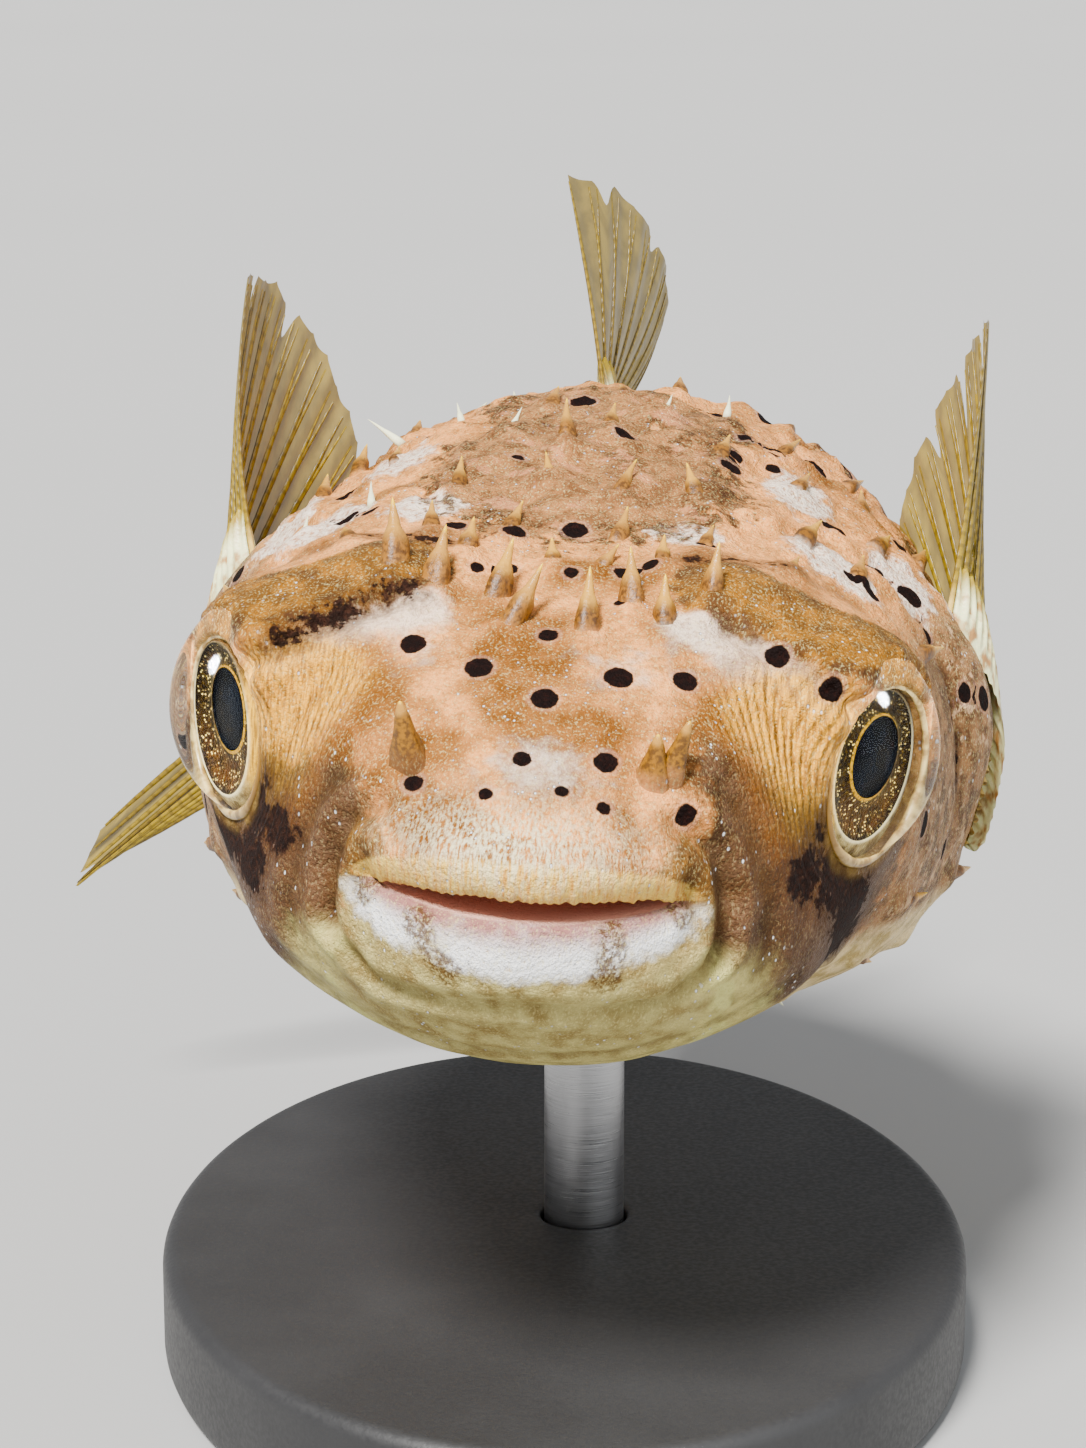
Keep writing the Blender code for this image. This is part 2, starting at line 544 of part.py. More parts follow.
def ball(name, centre, radius, axis, made, across=20, down=12):
    """A ball with its poles on the axis."""
    axis = np.asarray(axis, float)
    side = np.cross(axis, (0, 0, 1.0))
    side /= np.linalg.norm(side)
    other = np.cross(axis, side)
    t = math.pi * np.arange(1, down) / down
    u = 2 * math.pi * np.arange(across) / across
    rows = [centre + radius * (math.cos(a) * axis + math.sin(a) * (np.cos(u)[:, None] * side + np.sin(u)[:, None] * other)) for a in t]
    points = np.concatenate([[centre + radius * axis], *rows, [centre - radius * axis]])
    faces = tube_faces(down - 1, across)
    return cutter(name, points, faces) if made is None else new_object(name, points, faces, made)


def spine_cones(name, low, high):
    """The spines with their roots between low and high, as one set of cones."""
    points, faces, n = [], [], 4
    root, way, length, normal = spine_list()
    cones = [(p, d, size, up, SPINE_RADIUS * (1.25 if p[1] < 24 else 1.05)) for p, d, size, up in zip(root, way, length, normal)]
    cones += [(p, d, NOSTRIL_SIZE[1], up, NOSTRIL_SIZE[0]) for p, d, up in nostril_tubes()]
    for p, d, size, up, radius in cones:
        if not low < p[1] < high:
            continue
        side = np.cross(d, up)
        side /= np.linalg.norm(side)
        other = np.cross(side, up)
        start = len(points)
        for i in range(n):
            a = 2 * math.pi * i / n
            points.append(p - up * SPINE_FOOT + radius * (math.cos(a) * side + 1.2 * math.sin(a) * other))
        points.append(p + d * size)
        faces.extend((start + i, start + (i + 1) % n, start + n) for i in range(n))
        faces.append(tuple(start + i for i in reversed(range(n))))
    return cutter(name, posed(np.array(points)), faces)


def fin_thickness(s):
    root, near, edge = FIN_THICKNESS
    return np.where(s < 0.2, near + (root - near) * smooth(s, 0.2, -0.05), near + (edge - near) * smooth(s, 0.2, 1.0))


def fin_sheet(name, made, trim, rays=11, steps=(0.0, 0.08, 0.2, 0.4, 0.6, 0.8, 0.93, 1.0)):
    """A fin as a closed sheet with its real outline, trimmed where it meets the body."""
    t = np.linspace(0, 1, rays)
    length = fin_plan(name, np.array([0.5]))[3][0]
    s = np.concatenate([[-FIN_ROOT / length], steps])
    grid = fin_points(name, t[:, None], s[None, :])
    along_t, along_s = np.gradient(grid, axis=0), np.gradient(grid, axis=1)
    normal = np.cross(along_t, along_s)
    normal /= np.linalg.norm(normal, axis=-1, keepdims=True)
    edge = np.ones((rays, len(s)))
    edge[[0, -1]] = 0.62
    edge[:, -1] *= 0.92
    half = np.maximum(fin_thickness(s)[None, :] * edge, 0.5) / 2 * MM
    front, back = grid + normal * half[..., None], grid - normal * half[..., None]
    points = np.concatenate([front.reshape(-1, 3), back.reshape(-1, 3)])
    m, n = rays, len(s)
    at = lambda i, j, k: k * m * n + i * n + j
    faces = []
    for i in range(m - 1):
        for j in range(n - 1):
            faces.append((at(i, j, 0), at(i + 1, j, 0), at(i + 1, j + 1, 0), at(i, j + 1, 0)))
            faces.append((at(i, j, 1), at(i, j + 1, 1), at(i + 1, j + 1, 1), at(i + 1, j, 1)))
    rim = [(i, 0) for i in range(m)] + [(m - 1, j) for j in range(1, n)] + [(i, n - 1) for i in range(m - 2, -1, -1)] + [(0, j) for j in range(n - 2, 0, -1)]
    for (i, j), (k, l) in zip(rim, rim[1:] + rim[:1]):
        faces.append((at(i, j, 0), at(k, l, 0), at(k, l, 1), at(i, j, 1)))
    thing = new_object(name, points, faces, made)
    boolean(thing, trim, "DIFFERENCE")
    return thing


def turned_profile(name, profile, segments, scale, centre, made, height=1.0):
    """A body of rings from (size, height) pairs in mm, with size scaled along x and y."""
    u = 2 * math.pi * np.arange(segments) / segments
    rows = [np.stack([centre[0] + (scale[0] + r) * np.cos(u), centre[1] + (scale[1] + r) * np.sin(u), np.full(segments, z)], -1) for r, z in profile]
    w = np.array(rows)
    points = np.concatenate([[(centre[0], centre[1], profile[0][1])], w.reshape(-1, 3), [(centre[0], centre[1], profile[-1][1])]]) * MM
    faces = tube_faces(len(profile), segments)
    return cutter(name, points, faces) if made is None else new_object(name, points, faces, made, False)


def flat_shaded_sides(thing, angle=30.0):
    """Round sides shaded smooth and flat faces left flat."""
    work = bmesh.new()
    work.from_mesh(thing.data)
    for face in work.faces:
        face.smooth = True
    for edge in work.edges:
        if len(edge.link_faces) == 2 and edge.calc_face_angle() > math.radians(angle):
            edge.smooth = False
    work.to_mesh(thing.data)
    work.free()


def main():
    for thing in list(bpy.data.objects):
        bpy.data.objects.remove(thing, do_unlink=True)

    skin, eye, fin, stand, rod = material("skin", SKIN, 0.5), material("eye", IRIS, 0.06), material("fin", FIN, 0.4), material("stand", STAND, 0.45), material("rod", ROD, 0.28, 1.0)
    first, second = CUTS
    neck, waist = along_plane(first), along_plane(second)

    # the flesh, in three lengths
    head_rings = rings_over([
        ("throat", 1), ("mouth_back", 1), ("gum", 1), ("lip_inner", 1), ("lip_edge", 1), ("lip_crest", 2), ("lip_outer", 2), ("muzzle", 3),
        ("cheek_front", 3), ("orbit_front", 4), ("orbit", 5), ("orbit_back", 3), (neck, 1)])
    trunk_rings = rings_over([(neck + GAP, 4), ("pectoral", 3), ("trunk", 3), ("loin", 3), ("dorsal_front", 3), ("dorsal_back", 2), (waist, 1)])
    tail_rings = rings_over([(waist + GAP, 3), ("tail_root", 2), ("hypural", 1), ("tail_stop", 1)])
    head = body_part("head", head_rings, skin)
    trunk = body_part("trunk", trunk_rings, skin)
    tail = body_part("tail", tail_rings, skin)

    # the eyes, and their sockets
    for side, label in ((1.0, "left"), (-1.0, "right")):
        mirror = np.array((side, 1.0, 1.0))
        centre = posed(EYE_CENTRE * mirror) / MM
        axis = posed_direction(EYE_CENTRE * mirror, EYE_AXIS * mirror)
        ball("eye_" + label, centre * MM, EYE_RADIUS * MM, axis, eye)
        boolean(head, ball("socket_" + label, centre * MM, (EYE_RADIUS + GAP) * MM, axis, None), "DIFFERENCE")

    # spines, joined to the flesh that they grow from
    boolean(head, spine_cones("head_spines", -9, first), "UNION")
    boolean(trunk, spine_cones("trunk_spines", first, second), "UNION")

    # fins, each trimmed a gap away from the flesh
    around = body_part("around_body", np.concatenate([head_rings[-12:], trunk_rings, tail_rings]), None, GAP + 0.08)
    for name in FIN_RAYS:
        fin_sheet(name, fin, around, 11 if name != "caudal_fin" else 8)

    # the stand: an oval base and one rod up into the belly
    top = ROD_TOP
    profile = [(-BASE_CORNER, 0.0), (0.0, BASE_CORNER), (0.0, BASE_THICKNESS - BASE_CORNER), (-BASE_CORNER, BASE_THICKNESS)]
    base = turned_profile("stand_base", profile, 48, BASE_HALF, (0.0, 0.0), stand)
    flat_shaded_sides(base)
    place = ROD_BASE
    floor_of_hole = BASE_THICKNESS - ROD_SINK
    boolean(base, turned_profile("rod_hole", [(0.0, floor_of_hole - GAP), (0.0, BASE_THICKNESS + 2)], 24, (ROD_RADIUS + GAP, ROD_RADIUS + GAP), place, None), "DIFFERENCE")
    post = turned_profile("stand_rod", [(-0.5, floor_of_hole), (0.0, floor_of_hole + 0.5), (0.0, top - 0.6), (-0.6, top)], 24, (ROD_RADIUS, ROD_RADIUS), place, rod)
    flat_shaded_sides(post)
    boolean(trunk, turned_profile("rod_socket", [(0.0, BASE_THICKNESS + 2), (0.0, top + GAP)], 24, (ROD_RADIUS + GAP, ROD_RADIUS + GAP), place, None), "DIFFERENCE")


main()
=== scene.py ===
import math

import bmesh
import bpy
import numpy as np
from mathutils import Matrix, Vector


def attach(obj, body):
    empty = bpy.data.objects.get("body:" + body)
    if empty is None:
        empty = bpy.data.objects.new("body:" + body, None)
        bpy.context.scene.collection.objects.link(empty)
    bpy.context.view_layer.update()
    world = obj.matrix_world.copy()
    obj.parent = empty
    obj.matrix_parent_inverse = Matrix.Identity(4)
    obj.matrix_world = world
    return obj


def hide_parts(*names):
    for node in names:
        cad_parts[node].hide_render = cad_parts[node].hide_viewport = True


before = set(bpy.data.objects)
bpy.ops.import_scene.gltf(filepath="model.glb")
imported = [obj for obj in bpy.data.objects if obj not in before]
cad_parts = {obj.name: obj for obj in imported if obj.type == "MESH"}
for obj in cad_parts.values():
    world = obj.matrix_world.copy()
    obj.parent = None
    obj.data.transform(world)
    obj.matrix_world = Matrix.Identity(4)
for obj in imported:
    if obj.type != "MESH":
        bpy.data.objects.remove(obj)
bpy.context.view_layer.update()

MM = 0.001
CUTS = (38.5, 97.5)
ROD_AT = (0.0, 49.0)

# ---------------------------------------------------------------- body form
# Canonical frame, in millimetres: the fish lies straight along +Y with its
# snout at y = 0, its left side at +X and its back at +Z; z = 0 is eye level.
# Each station is one ring round the body, given by its side point (half-width,
# y), its top point (z, y), its bottom point (z, y), the level of its widest
# line and how square its upper and lower halves are.
STATIONS = [
    # name            side a,   y      top z,   y     bottom z,  y     mid z   top p  bottom p
    ("throat",        (1.5,    9.0),  (-4.8,   9.0),  (-5.5,    9.0),  -5.1,   2.0,   2.0),
    ("mouth_back",    (7.0,    8.2),  (-4.0,   7.0),  (-6.3,    7.0),  -5.1,   2.0,   2.0),
    ("gum",           (8.2,    6.0),  (-4.2,   3.0),  (-6.1,    2.8),  -5.1,   2.0,   2.0),
    ("lip_inner",     (8.8,    5.0),  (-4.6,   1.3),  (-6.0,    1.4),  -5.2,   1.9,   1.9),
    ("lip_edge",      (9.5,    4.6),  (-4.3,  -0.1),  (-6.2,    0.3),  -5.1,   2.0,   2.0),
    ("lip_crest",     (10.3,   4.6),  (-2.9,  -0.7),  (-7.6,    0.0),  -5.1,   2.1,   2.1),
    ("lip_outer",     (11.9,   6.1),  (-0.9,   0.4),  (-10.2,   0.9),  -5.2,   2.2,   2.2),
    ("muzzle",        (14.4,   8.9),  (1.5,    3.2),  (-13.4,   3.2),  -5.4,   2.2,   2.3),
    ("cheek_front",   (17.1,  12.8),  (5.0,    7.8),  (-16.8,   7.2),  -5.0,  2.4,   2.3),
    ("orbit_front",   (19.3,  16.6),  (7.9,   13.0),  (-19.2,  12.2),  -4.0,  2.7,   2.25),
    ("orbit",         (21.8,  21.2),  (10.3,  19.2),  (-20.5,  18.4),  -3.6,  3,     2.15),
    ("orbit_back",    (24.0,  27.6),  (12.8,  27.0),  (-21.5,  26.6),  -3.6,  2.7,   2.15),
    ("nape",          (26.2,  36.0),  (15.2,  36.0),  (-22.6,  36.0),  -4.4,   2.2,   2.8),
    ("pectoral",      (28.0,  46.0),  (16.9,  46.0),  (-23.4,  46.0),  -5.2,   1.88,  3.0),
    ("trunk",         (27.8,  56.0),  (17.4,  56.0),  (-23.2,  56.0),  -5.2,   1.85,  2.8),
    ("loin",          (24.0,  67.0),  (16.4,  67.0),  (-20.8,  67.0),  -3.4,   2.0,   2.2),
    ("dorsal_front",  (17.2,  78.0),  (13.6,  78.0),  (-16.4,  78.0),  -2.2,  2.1,   2.1),
    ("dorsal_back",   (11.4,  88.5),  (9.6,   88.5),  (-12.2,  88.5),  -2.0,  2.1,   2.1),
    ("peduncle",      (7.0,   98.0),  (5.6,   98.0),  (-9.2,   98.0),  -1.8,  2.1,   2.1),
    ("tail_root",     (4.4,  107.0),  (3.4,  107.0),  (-7.2,  107.0),  -1.8,  2.1,   2.1),
    ("hypural",       (2.8,  113.0),  (3.0,  113.0),  (-6.8,  113.0),  -1.9,  2.1,   2.1),
    ("tail_stop",     (1.4,  115.5),  (1.6,  115.5),  (-5.4,  115.5),  -1.9,  2.1,   2.1),
]
STATION = {row[0]: i for i, row in enumerate(STATIONS)}

# eyes: ball centre, ball radius, the way it looks, opening radius
EYE_CENTRE = np.array((18.3, 21.6, 0.0))
EYE_RADIUS = 6.9
EYE_AZIMUTH = math.radians(60)   # from straight ahead towards the fish's side
EYE_DROP = math.radians(3)
EYE_OPENING = 5.9
EYE_AXIS = np.array((math.sin(EYE_AZIMUTH) * math.cos(EYE_DROP),
                     -math.cos(EYE_AZIMUTH) * math.cos(EYE_DROP),
                     -math.sin(EYE_DROP)))


def spline_through(t, rows, at):
    """Natural cubic spline through rows at t, read at the values at."""
    t, rows, at = (np.asarray(x, float) for x in (t, rows, at))
    n, h = len(t), np.diff(t)
    a = np.zeros((n, n))
    b = np.zeros_like(rows)
    a[0, 0] = a[-1, -1] = 1.0
    for i in range(1, n - 1):
        a[i, i - 1 : i + 2] = h[i - 1], 2 * (h[i - 1] + h[i]), h[i]
        b[i] = 6 * ((rows[i + 1] - rows[i]) / h[i] - (rows[i] - rows[i - 1]) / h[i - 1])
    m = np.linalg.solve(a, b)
    k = np.clip(np.searchsorted(t, at, side="right") - 1, 0, n - 2)
    s, r, w = at - t[k], t[k + 1] - at, h[k]
    s, r, w = s[:, None], r[:, None], w[:, None]
    return (m[k] * r**3 + m[k + 1] * s**3) / (6 * w) + (rows[k] / w - m[k] * w / 6) * r + (rows[k + 1] / w - m[k + 1] * w / 6) * s


def smooth(x, low, high):
    """0 below low, 1 above high, and an even curve between. It runs downhill where low is the larger."""
    t = np.clip((x - low) / (high - low), 0, 1)
    return t * t * (3 - 2 * t)


def station_values():
    rows = np.array([(s[0], s[1], t[0], t[1], b[0], b[1], m, pt, pb) for _, s, t, b, m, pt, pb in STATIONS])
    steps = np.sqrt((np.diff(rows[:, :6], axis=0) ** 2).sum(1) / 3)
    return np.concatenate([[0], np.cumsum(steps)]), rows


STATION_AT, STATION_ROWS = station_values()


def along_of(name):
    return STATION_AT[STATION[name]]


def base_points(along, v):
    """Points of the plain body. along is the distance over the stations, and v the angle round, 0 at the fish's left and a quarter turn at its back. The two broadcast."""
    along, v = np.broadcast_arrays(np.asarray(along, float), np.asarray(v, float))
    level, where = np.unique(along, return_inverse=True)
    r = spline_through(STATION_AT, STATION_ROWS, level)[where.reshape(along.shape)]
    a, ys, zt, yt, zb, yb, mid, pt, pb = (r[..., i] for i in range(9))
    c, s = np.cos(v), np.sin(v)
    p = np.where(s >= 0, pt, pb)
    k = (np.abs(c) ** p + np.abs(s) ** p) ** (-1 / p)
    x = a * c * k
    z = mid + np.where(s >= 0, zt - mid, mid - zb) * s * k
    y = ys * c**2 + np.where(s >= 0, yt, yb) * s**2
    return np.stack([x, y, z], -1)


def base_normals(along, v, step=0.02):
    """Unit normals of the plain body, pointing out."""
    lo, hi = np.maximum(along - step, 0), np.minimum(along + step, STATION_AT[-1])
    n = np.cross(base_points(hi, v) - base_points(lo, v), base_points(along, v + 0.01) - base_points(along, v - 0.01))
    return n / np.maximum(np.linalg.norm(n, axis=-1, keepdims=True), 1e-12)


def skin_points(along, v):
    """Points of the body with its features, in the canonical frame."""
    along, v = np.broadcast_arrays(np.asarray(along, float), np.asarray(v, float))
    return body_features(base_points(along, v), base_normals(along, v))


def skin_normals(along, v, step=0.03):
    lo, hi = np.maximum(along - step, 0), np.minimum(along + step, STATION_AT[-1])
    n = np.cross(skin_points(hi, v) - skin_points(lo, v), skin_points(along, v + 0.012) - skin_points(along, v - 0.012))
    return n / np.maximum(np.linalg.norm(n, axis=-1, keepdims=True), 1e-12)


def along_at(y, v):
    """The distance over the stations where the line at angle v reaches y."""
    table = np.linspace(along_of("lip_crest"), STATION_AT[-1], 600)
    ys = np.maximum.accumulate(base_points(table, v)[..., 1])
    return float(np.interp(y, ys + np.arange(600) * 1e-7, table))


def bump(p, centre, size):
    """A soft mound: 1 at centre, falling off over size along x, y and z."""
    d = (p - np.array(centre)) / np.array(size)
    return np.exp(-(d**2).sum(-1))


def mirrored(p):
    """The points with x made positive, for features that both sides share."""
    q = p.copy()
    q[..., 0] = np.abs(q[..., 0])
    return q


def orbit_shift(q):
    """How far points of one side move along the eye's axis to meet the eye: down under the ball inside the opening, a thin lid fold round it, and a brow that overhangs it above."""
    d = q - EYE_CENTRE
    axial = d @ EYE_AXIS
    flat = d - axial[..., None] * EYE_AXIS
    r = np.linalg.norm(flat, axis=-1)
    up = flat[..., 2] / np.maximum(r, 1e-6)
    back = -(flat[..., :2] @ np.array((EYE_AXIS[1], -EYE_AXIS[0]))) / np.maximum(r, 1e-6)
    above = smooth(up, 0.2, 0.95)
    # the lid's edge stands on the ball, and its fold a little proud of it
    ball = np.sqrt(np.maximum(EYE_RADIUS**2 - np.minimum(r, EYE_RADIUS) ** 2, 0))
    sink = np.minimum(ball - 1.4, 1.6)
    lid = 3.55 + 0.35 * above
    inside = smooth(r, EYE_OPENING + 0.25, EYE_OPENING - 0.55)
    target = lid * (1 - inside) + sink * inside
    reach = 9.0 + 2.2 * above
    hold = 6.5 + 1.4 * above
    w = smooth(r, reach, hold)
    w = w * smooth(axial, -7.0, -2.5)
    return (target - axial) * w, r, axial


def body_features(p, n):
    """Brows, lids, cheeks, the fleshy fin bases and the gill slits, added to the plain body."""
    q = mirrored(p)
    side = np.where(p[..., :1] >= 0, 1.0, -1.0)
    h = 1.9 * bump(q, (13.0, 21.5, 9.0), (6.0, 5.5, 7.0))            # brow ridge
    h = h + 0.9 * bump(q, (9.5, 9.5, 1.5), (3.2, 3.6, 3.6))           # nasal swelling
    h = h + 1.0 * bump(q, (17.5, 15.0, -11.5), (5.0, 6.0, 5.0))       # cheek below the eye
    h = h + 1.6 * bump(q, (26.5, 47.5, 0.0), (9.0, 4.6, 8.6))         # fleshy base of the pectoral fin
    h = h - 1.0 * bump(q, (26.0, 41.2, -1.0), (9.0, 1.5, 7.5))        # gill slit in front of it
    h = h + 1.2 * bump(q, (0.0, 84.0, 11.0), (3.2, 6.5, 5.0))         # fleshy base of the dorsal fin
    h = h + 1.2 * bump(q, (0.0, 85.0, -13.0), (3.2, 6.5, 5.0))        # and of the anal fin
    out = p + n * h[..., None]
    q = mirrored(out)
    shift, _, _ = orbit_shift(q)
    axis = EYE_AXIS * np.array((1.0, 1.0, 1.0))
    move = shift[..., None] * axis
    move[..., :1] *= side
    return out + move


# ---------------------------------------------------------------- pose
# The body's line bends: turn is to the fish's right and dip is downwards, both
# in degrees at a distance y from the snout.
BEND = [  # y, turn, dip
    (-5, 0.0, 0.0), (22, 0.0, 0.0), (40, -2.5, 0.0), (54, -3.5, 0.0), (66, 1.0, 1.0), (78, 18.0, 6.0),
    (90, 50.0, 18.0), (102, 80.0, 30.0), (114, 98.0, 36.0), (150, 100.0, 36.0),
]
YAW, PITCH, ROLL = math.radians(-4.8), math.radians(0.0), math.radians(3.2)
EYE_LEVEL = 52.0            # height of the eyes' line over the floor
EYES_AT = (-1.0, -26.0)     # x, y of the point midway between the eyes


def bend_frames():
    step = 0.25
    y = np.arange(-5, 150 + step, step)
    angles = spline_through([b[0] for b in BEND], [b[1:] for b in BEND], y)
    turn, dip = np.radians(angles[:, 0]), np.radians(angles[:, 1])
    turn = np.where(y < 22, 0, turn)
    dip = np.where(y < 55, 0, dip)
    ahead = np.stack([-np.sin(turn) * np.cos(dip), np.cos(turn) * np.cos(dip), -np.sin(dip)], -1)
    left = np.stack([np.cos(turn), np.sin(turn), np.zeros_like(turn)], -1)
    up = np.cross(left, ahead)
    mid = (ahead[1:] + ahead[:-1]) / 2
    line = np.concatenate([[[0, -5, 0]], [0, -5, 0] + np.cumsum(mid * step, axis=0)])
    return y, line, ahead, left, up


BEND_Y, BEND_LINE, BEND_AHEAD, BEND_LEFT, BEND_UP = bend_frames()


def rotation(yaw, pitch, roll):
    cy, sy, cp, sp, cr, sr = (f(a) for a in (yaw, pitch, roll) for f in (math.cos, math.sin))
    about_z = np.array(((cy, -sy, 0), (sy, cy, 0), (0, 0, 1)))
    about_x = np.array(((1, 0, 0), (0, cp, -sp), (0, sp, cp)))
    about_y = np.array(((cr, 0, sr), (0, 1, 0), (-sr, 0, cr)))
    return about_z @ about_x @ about_y


TURN = rotation(YAW, PITCH, ROLL)
EYES_MID = np.array((0.0, EYE_CENTRE[1], EYE_CENTRE[2]))


def read_frame(y):
    f = lambda rows: np.stack([np.interp(y, BEND_Y, rows[:, i]) for i in range(3)], -1)
    ahead, left = f(BEND_AHEAD), f(BEND_LEFT)
    up = f(BEND_UP)
    return f(BEND_LINE), ahead, left, up


def posed(p):
    """Canonical points in mm, bent, turned and set over the stand, in metres."""
    line, _, left, up = read_frame(p[..., 1])
    q = line + left * p[..., :1] + up * p[..., 2:3]
    q = (q - EYES_MID) @ TURN.T + np.array((EYES_AT[0], EYES_AT[1], EYE_LEVEL))
    return q * MM


def posed_direction(p, d):
    """Unit direction d at canonical points p, in the posed body."""
    _, ahead, left, up = read_frame(p[..., 1])
    w = left * d[..., :1] + ahead * d[..., 1:2] + up * d[..., 2:3]
    w = w @ TURN.T
    return w / np.linalg.norm(w, axis=-1, keepdims=True)


# ---------------------------------------------------------------- fins
# A fin is a fan of rays. t runs over the rays from the leading one to the
# last, and s along a ray from its root to its tip. Each fin gives its roots on
# the body, and each ray's way and length, in the frame of the body there.
FIN_RAYS = {"pectoral_fin_left": 20, "pectoral_fin_right": 20, "dorsal_fin": 13, "anal_fin": 13, "caudal_fin": 9}


def mix(t, *stops):
    """A smooth value through (t, value) stops, where a value can be a tuple."""
    at = np.array([k for k, _ in stops], float)
    rows = np.array([np.atleast_1d(r) for _, r in stops], float)
    shape = np.shape(t)
    return spline_through(at, rows, np.ravel(t)).reshape(*shape, -1)


def unit(d):
    return d / np.linalg.norm(d, axis=-1, keepdims=True)


def fin_plan(name, t):
    """(root, way, sweep, length) of the rays at t: root in the canonical frame, way and sweep as canonical directions at the fin's middle, length in mm."""
    t = np.asarray(t, float)
    if name.startswith("pectoral"):
        side = 1.0 if name.endswith("left") else -1.0
        v = np.radians(mix(t, (0, 27), (0.5, 6), (1, -20))[..., 0])
        y = mix(t, (0, 48.2), (0.5, 50.6), (1, 48.8))[..., 0]
        along = np.array([along_at(a, b) for a, b in zip(np.ravel(y), np.ravel(v))]).reshape(t.shape)
        root = skin_points(along, v)
        open_up = 0.27 if side < 0 else 0.06
        way = unit(mix(t, (0, (0.03 + open_up, 0.30, 0.95)), (0.3, (-0.10 + 0.6 * open_up, 0.48, 0.88)), (0.65, (-0.30, 0.70, 0.66)), (1, (-0.40, 0.88, 0.26))))
        sweep = mix(t, (0, (-0.02 - 0.55 * open_up, 0.05, 0.05)), (0.5, (-0.10, 0.05, 0.12)), (1, (-0.10, 0.0, 0.16)))
        length = mix(t, (0, 20.2), (0.12, 21.8), (0.35, 22.4), (0.7, 19.4), (1, 13.0))[..., 0]
        mirror = np.array((side, 1.0, 1.0))
        return root * mirror, way * mirror, sweep * mirror, length
    if name == "dorsal_fin":
        y = 79.5 + 11.5 * t
        v = math.pi / 2 - 0.42 * t
        along = np.array([along_at(a, b) for a, b in zip(np.ravel(y), np.ravel(v))]).reshape(t.shape)
        root = skin_points(along, v)
        way = unit(mix(t, (0, (0.0, 0.12, 0.99)), (0.4, (0.60, 0.16, 0.80)), (0.75, (0.88, 0.08, 0.47)), (1, (0.93, 0.04, 0.36))))
        sweep = mix(t, (0, (-0.03, 0.05, 0.0)), (0.4, (-0.12, 0.04, 0.02)), (0.75, (-0.26, 0.04, 0.16)), (1, (-0.32, 0.04, 0.26)))
        length = mix(t, (0, 19.0), (0.2, 19.6), (0.5, 18.6), (0.75, 16.8), (1, 14.0))[..., 0]
        return root, way, sweep, length
    if name == "anal_fin":
        y = 80.5 + 10.5 * t
        along = np.array([along_at(a, -math.pi / 2) for a in np.ravel(y)]).reshape(t.shape)
        root = skin_points(along, np.full(t.shape, -math.pi / 2))
        way = unit(mix(t, (0, (0.05, 0.42, -0.90)), (0.4, (0.16, 0.62, -0.78)), (0.75, (0.24, 0.8, -0.56)), (1, (0.28, 0.92, -0.32))))
        sweep = mix(t, (0, (-0.03, 0.08, 0.0)), (1, (0.08, 0.06, 0.05)))
        length = mix(t, (0, 17.5), (0.15, 18.5), (0.4, 17.5), (0.7, 13.5), (1, 7.5))[..., 0]
        return root, way, sweep, length
    # caudal: folded to a narrow paddle, with its uppermost rays a little open
    z = mix(t, (0, 1.3), (1, -4.6))[..., 0]
    root = np.stack([np.zeros_like(t), np.full_like(t, 114.6), z], -1)
    way = unit(mix(t, (0, (0.0, 0.99, -0.07)), (0.3, (0.0, 0.99, -0.10)), (0.6, (0.0, 0.995, -0.07)), (1, (0.0, 1.0, 0.01))))
    sweep = mix(t, (0, (0.02, 0.0, -0.05)), (1, (0.04, 0.0, 0.02)))
    length = mix(t, (0, 21.5), (0.3, 25.6), (0.6, 26.6), (1, 24.6))[..., 0]
    return root, way, sweep, length


FIN_MIDDLE = {"pectoral_fin_left": 48.5, "pectoral_fin_right": 48.5, "dorsal_fin": 84.5, "anal_fin": 85.0, "caudal_fin": 114.6}


def fin_points(name, t, s):
    """Posed points of a fin, in metres, at t and s, which broadcast."""
    t, s = np.broadcast_arrays(np.asarray(t, float), np.asarray(s, float))
    level, where = np.unique(t, return_inverse=True)
    root, way, sweep, length = fin_plan(name, level)
    at = np.zeros((len(level), 3))
    at[:, 1] = FIN_MIDDLE[name]
    start = posed(root)
    way, sweep_w = posed_direction(at, way), turned(at, sweep)
    pick = lambda rows: rows[where.reshape(t.shape)]
    run = (pick(length) * s)[..., None]
    return pick(start) + (pick(way) * run + pick(sweep_w) * run * s[..., None]) * MM


def turned(p, d):
    """Canonical vectors d at canonical points p, in the posed body, with their length kept."""
    size = np.linalg.norm(d, axis=-1, keepdims=True)
    return posed_direction(p, d + 1e-12) * size


# ---------------------------------------------------------------- spines
# Rows of spines run round the body. Each row is given by its distance from the
# snout, the angles it covers from the back's midline on each side, the step
# between its spines, their length and how far they lie back from upright.
SPINE_ROWS = [  # y, from, to, step (degrees), length (mm), lie-back (degrees)
    (26.4, 9.0, 50.0, 13.0, 3.8, 72), (33.4, 4.8, 62.0, 14.0, 4.6, 70),
    (45.2, 1.0, 66.0, 15.0, 4.2, 73), (51.5, 9.0, 124.0, 16.0, 4.8, 70),
    (57.5, 1.0, 170.0, 18.0, 4.6, 72), (63.5, 10.0, 170.0, 19.0, 4.6, 72), (69.5, 1.0, 170.0, 21.0, 4.4, 72),
    (75.5, 12.0, 160.0, 24.0, 4.2, 72), (82.0, 30.0, 150.0, 30.0, 4.0, 72), (88.5, 34.0, 150.0, 36.0, 3.8, 72),
    (94.0, 22.0, 150.0, 44.0, 3.4, 72),
    (26.0, 126.0, 172.0, 19.0, 3.2, 74), (33.0, 116.0, 172.0, 14.0, 3.4, 74), (45.2, 116.0, 172.0, 15.0, 3.8, 73),
]


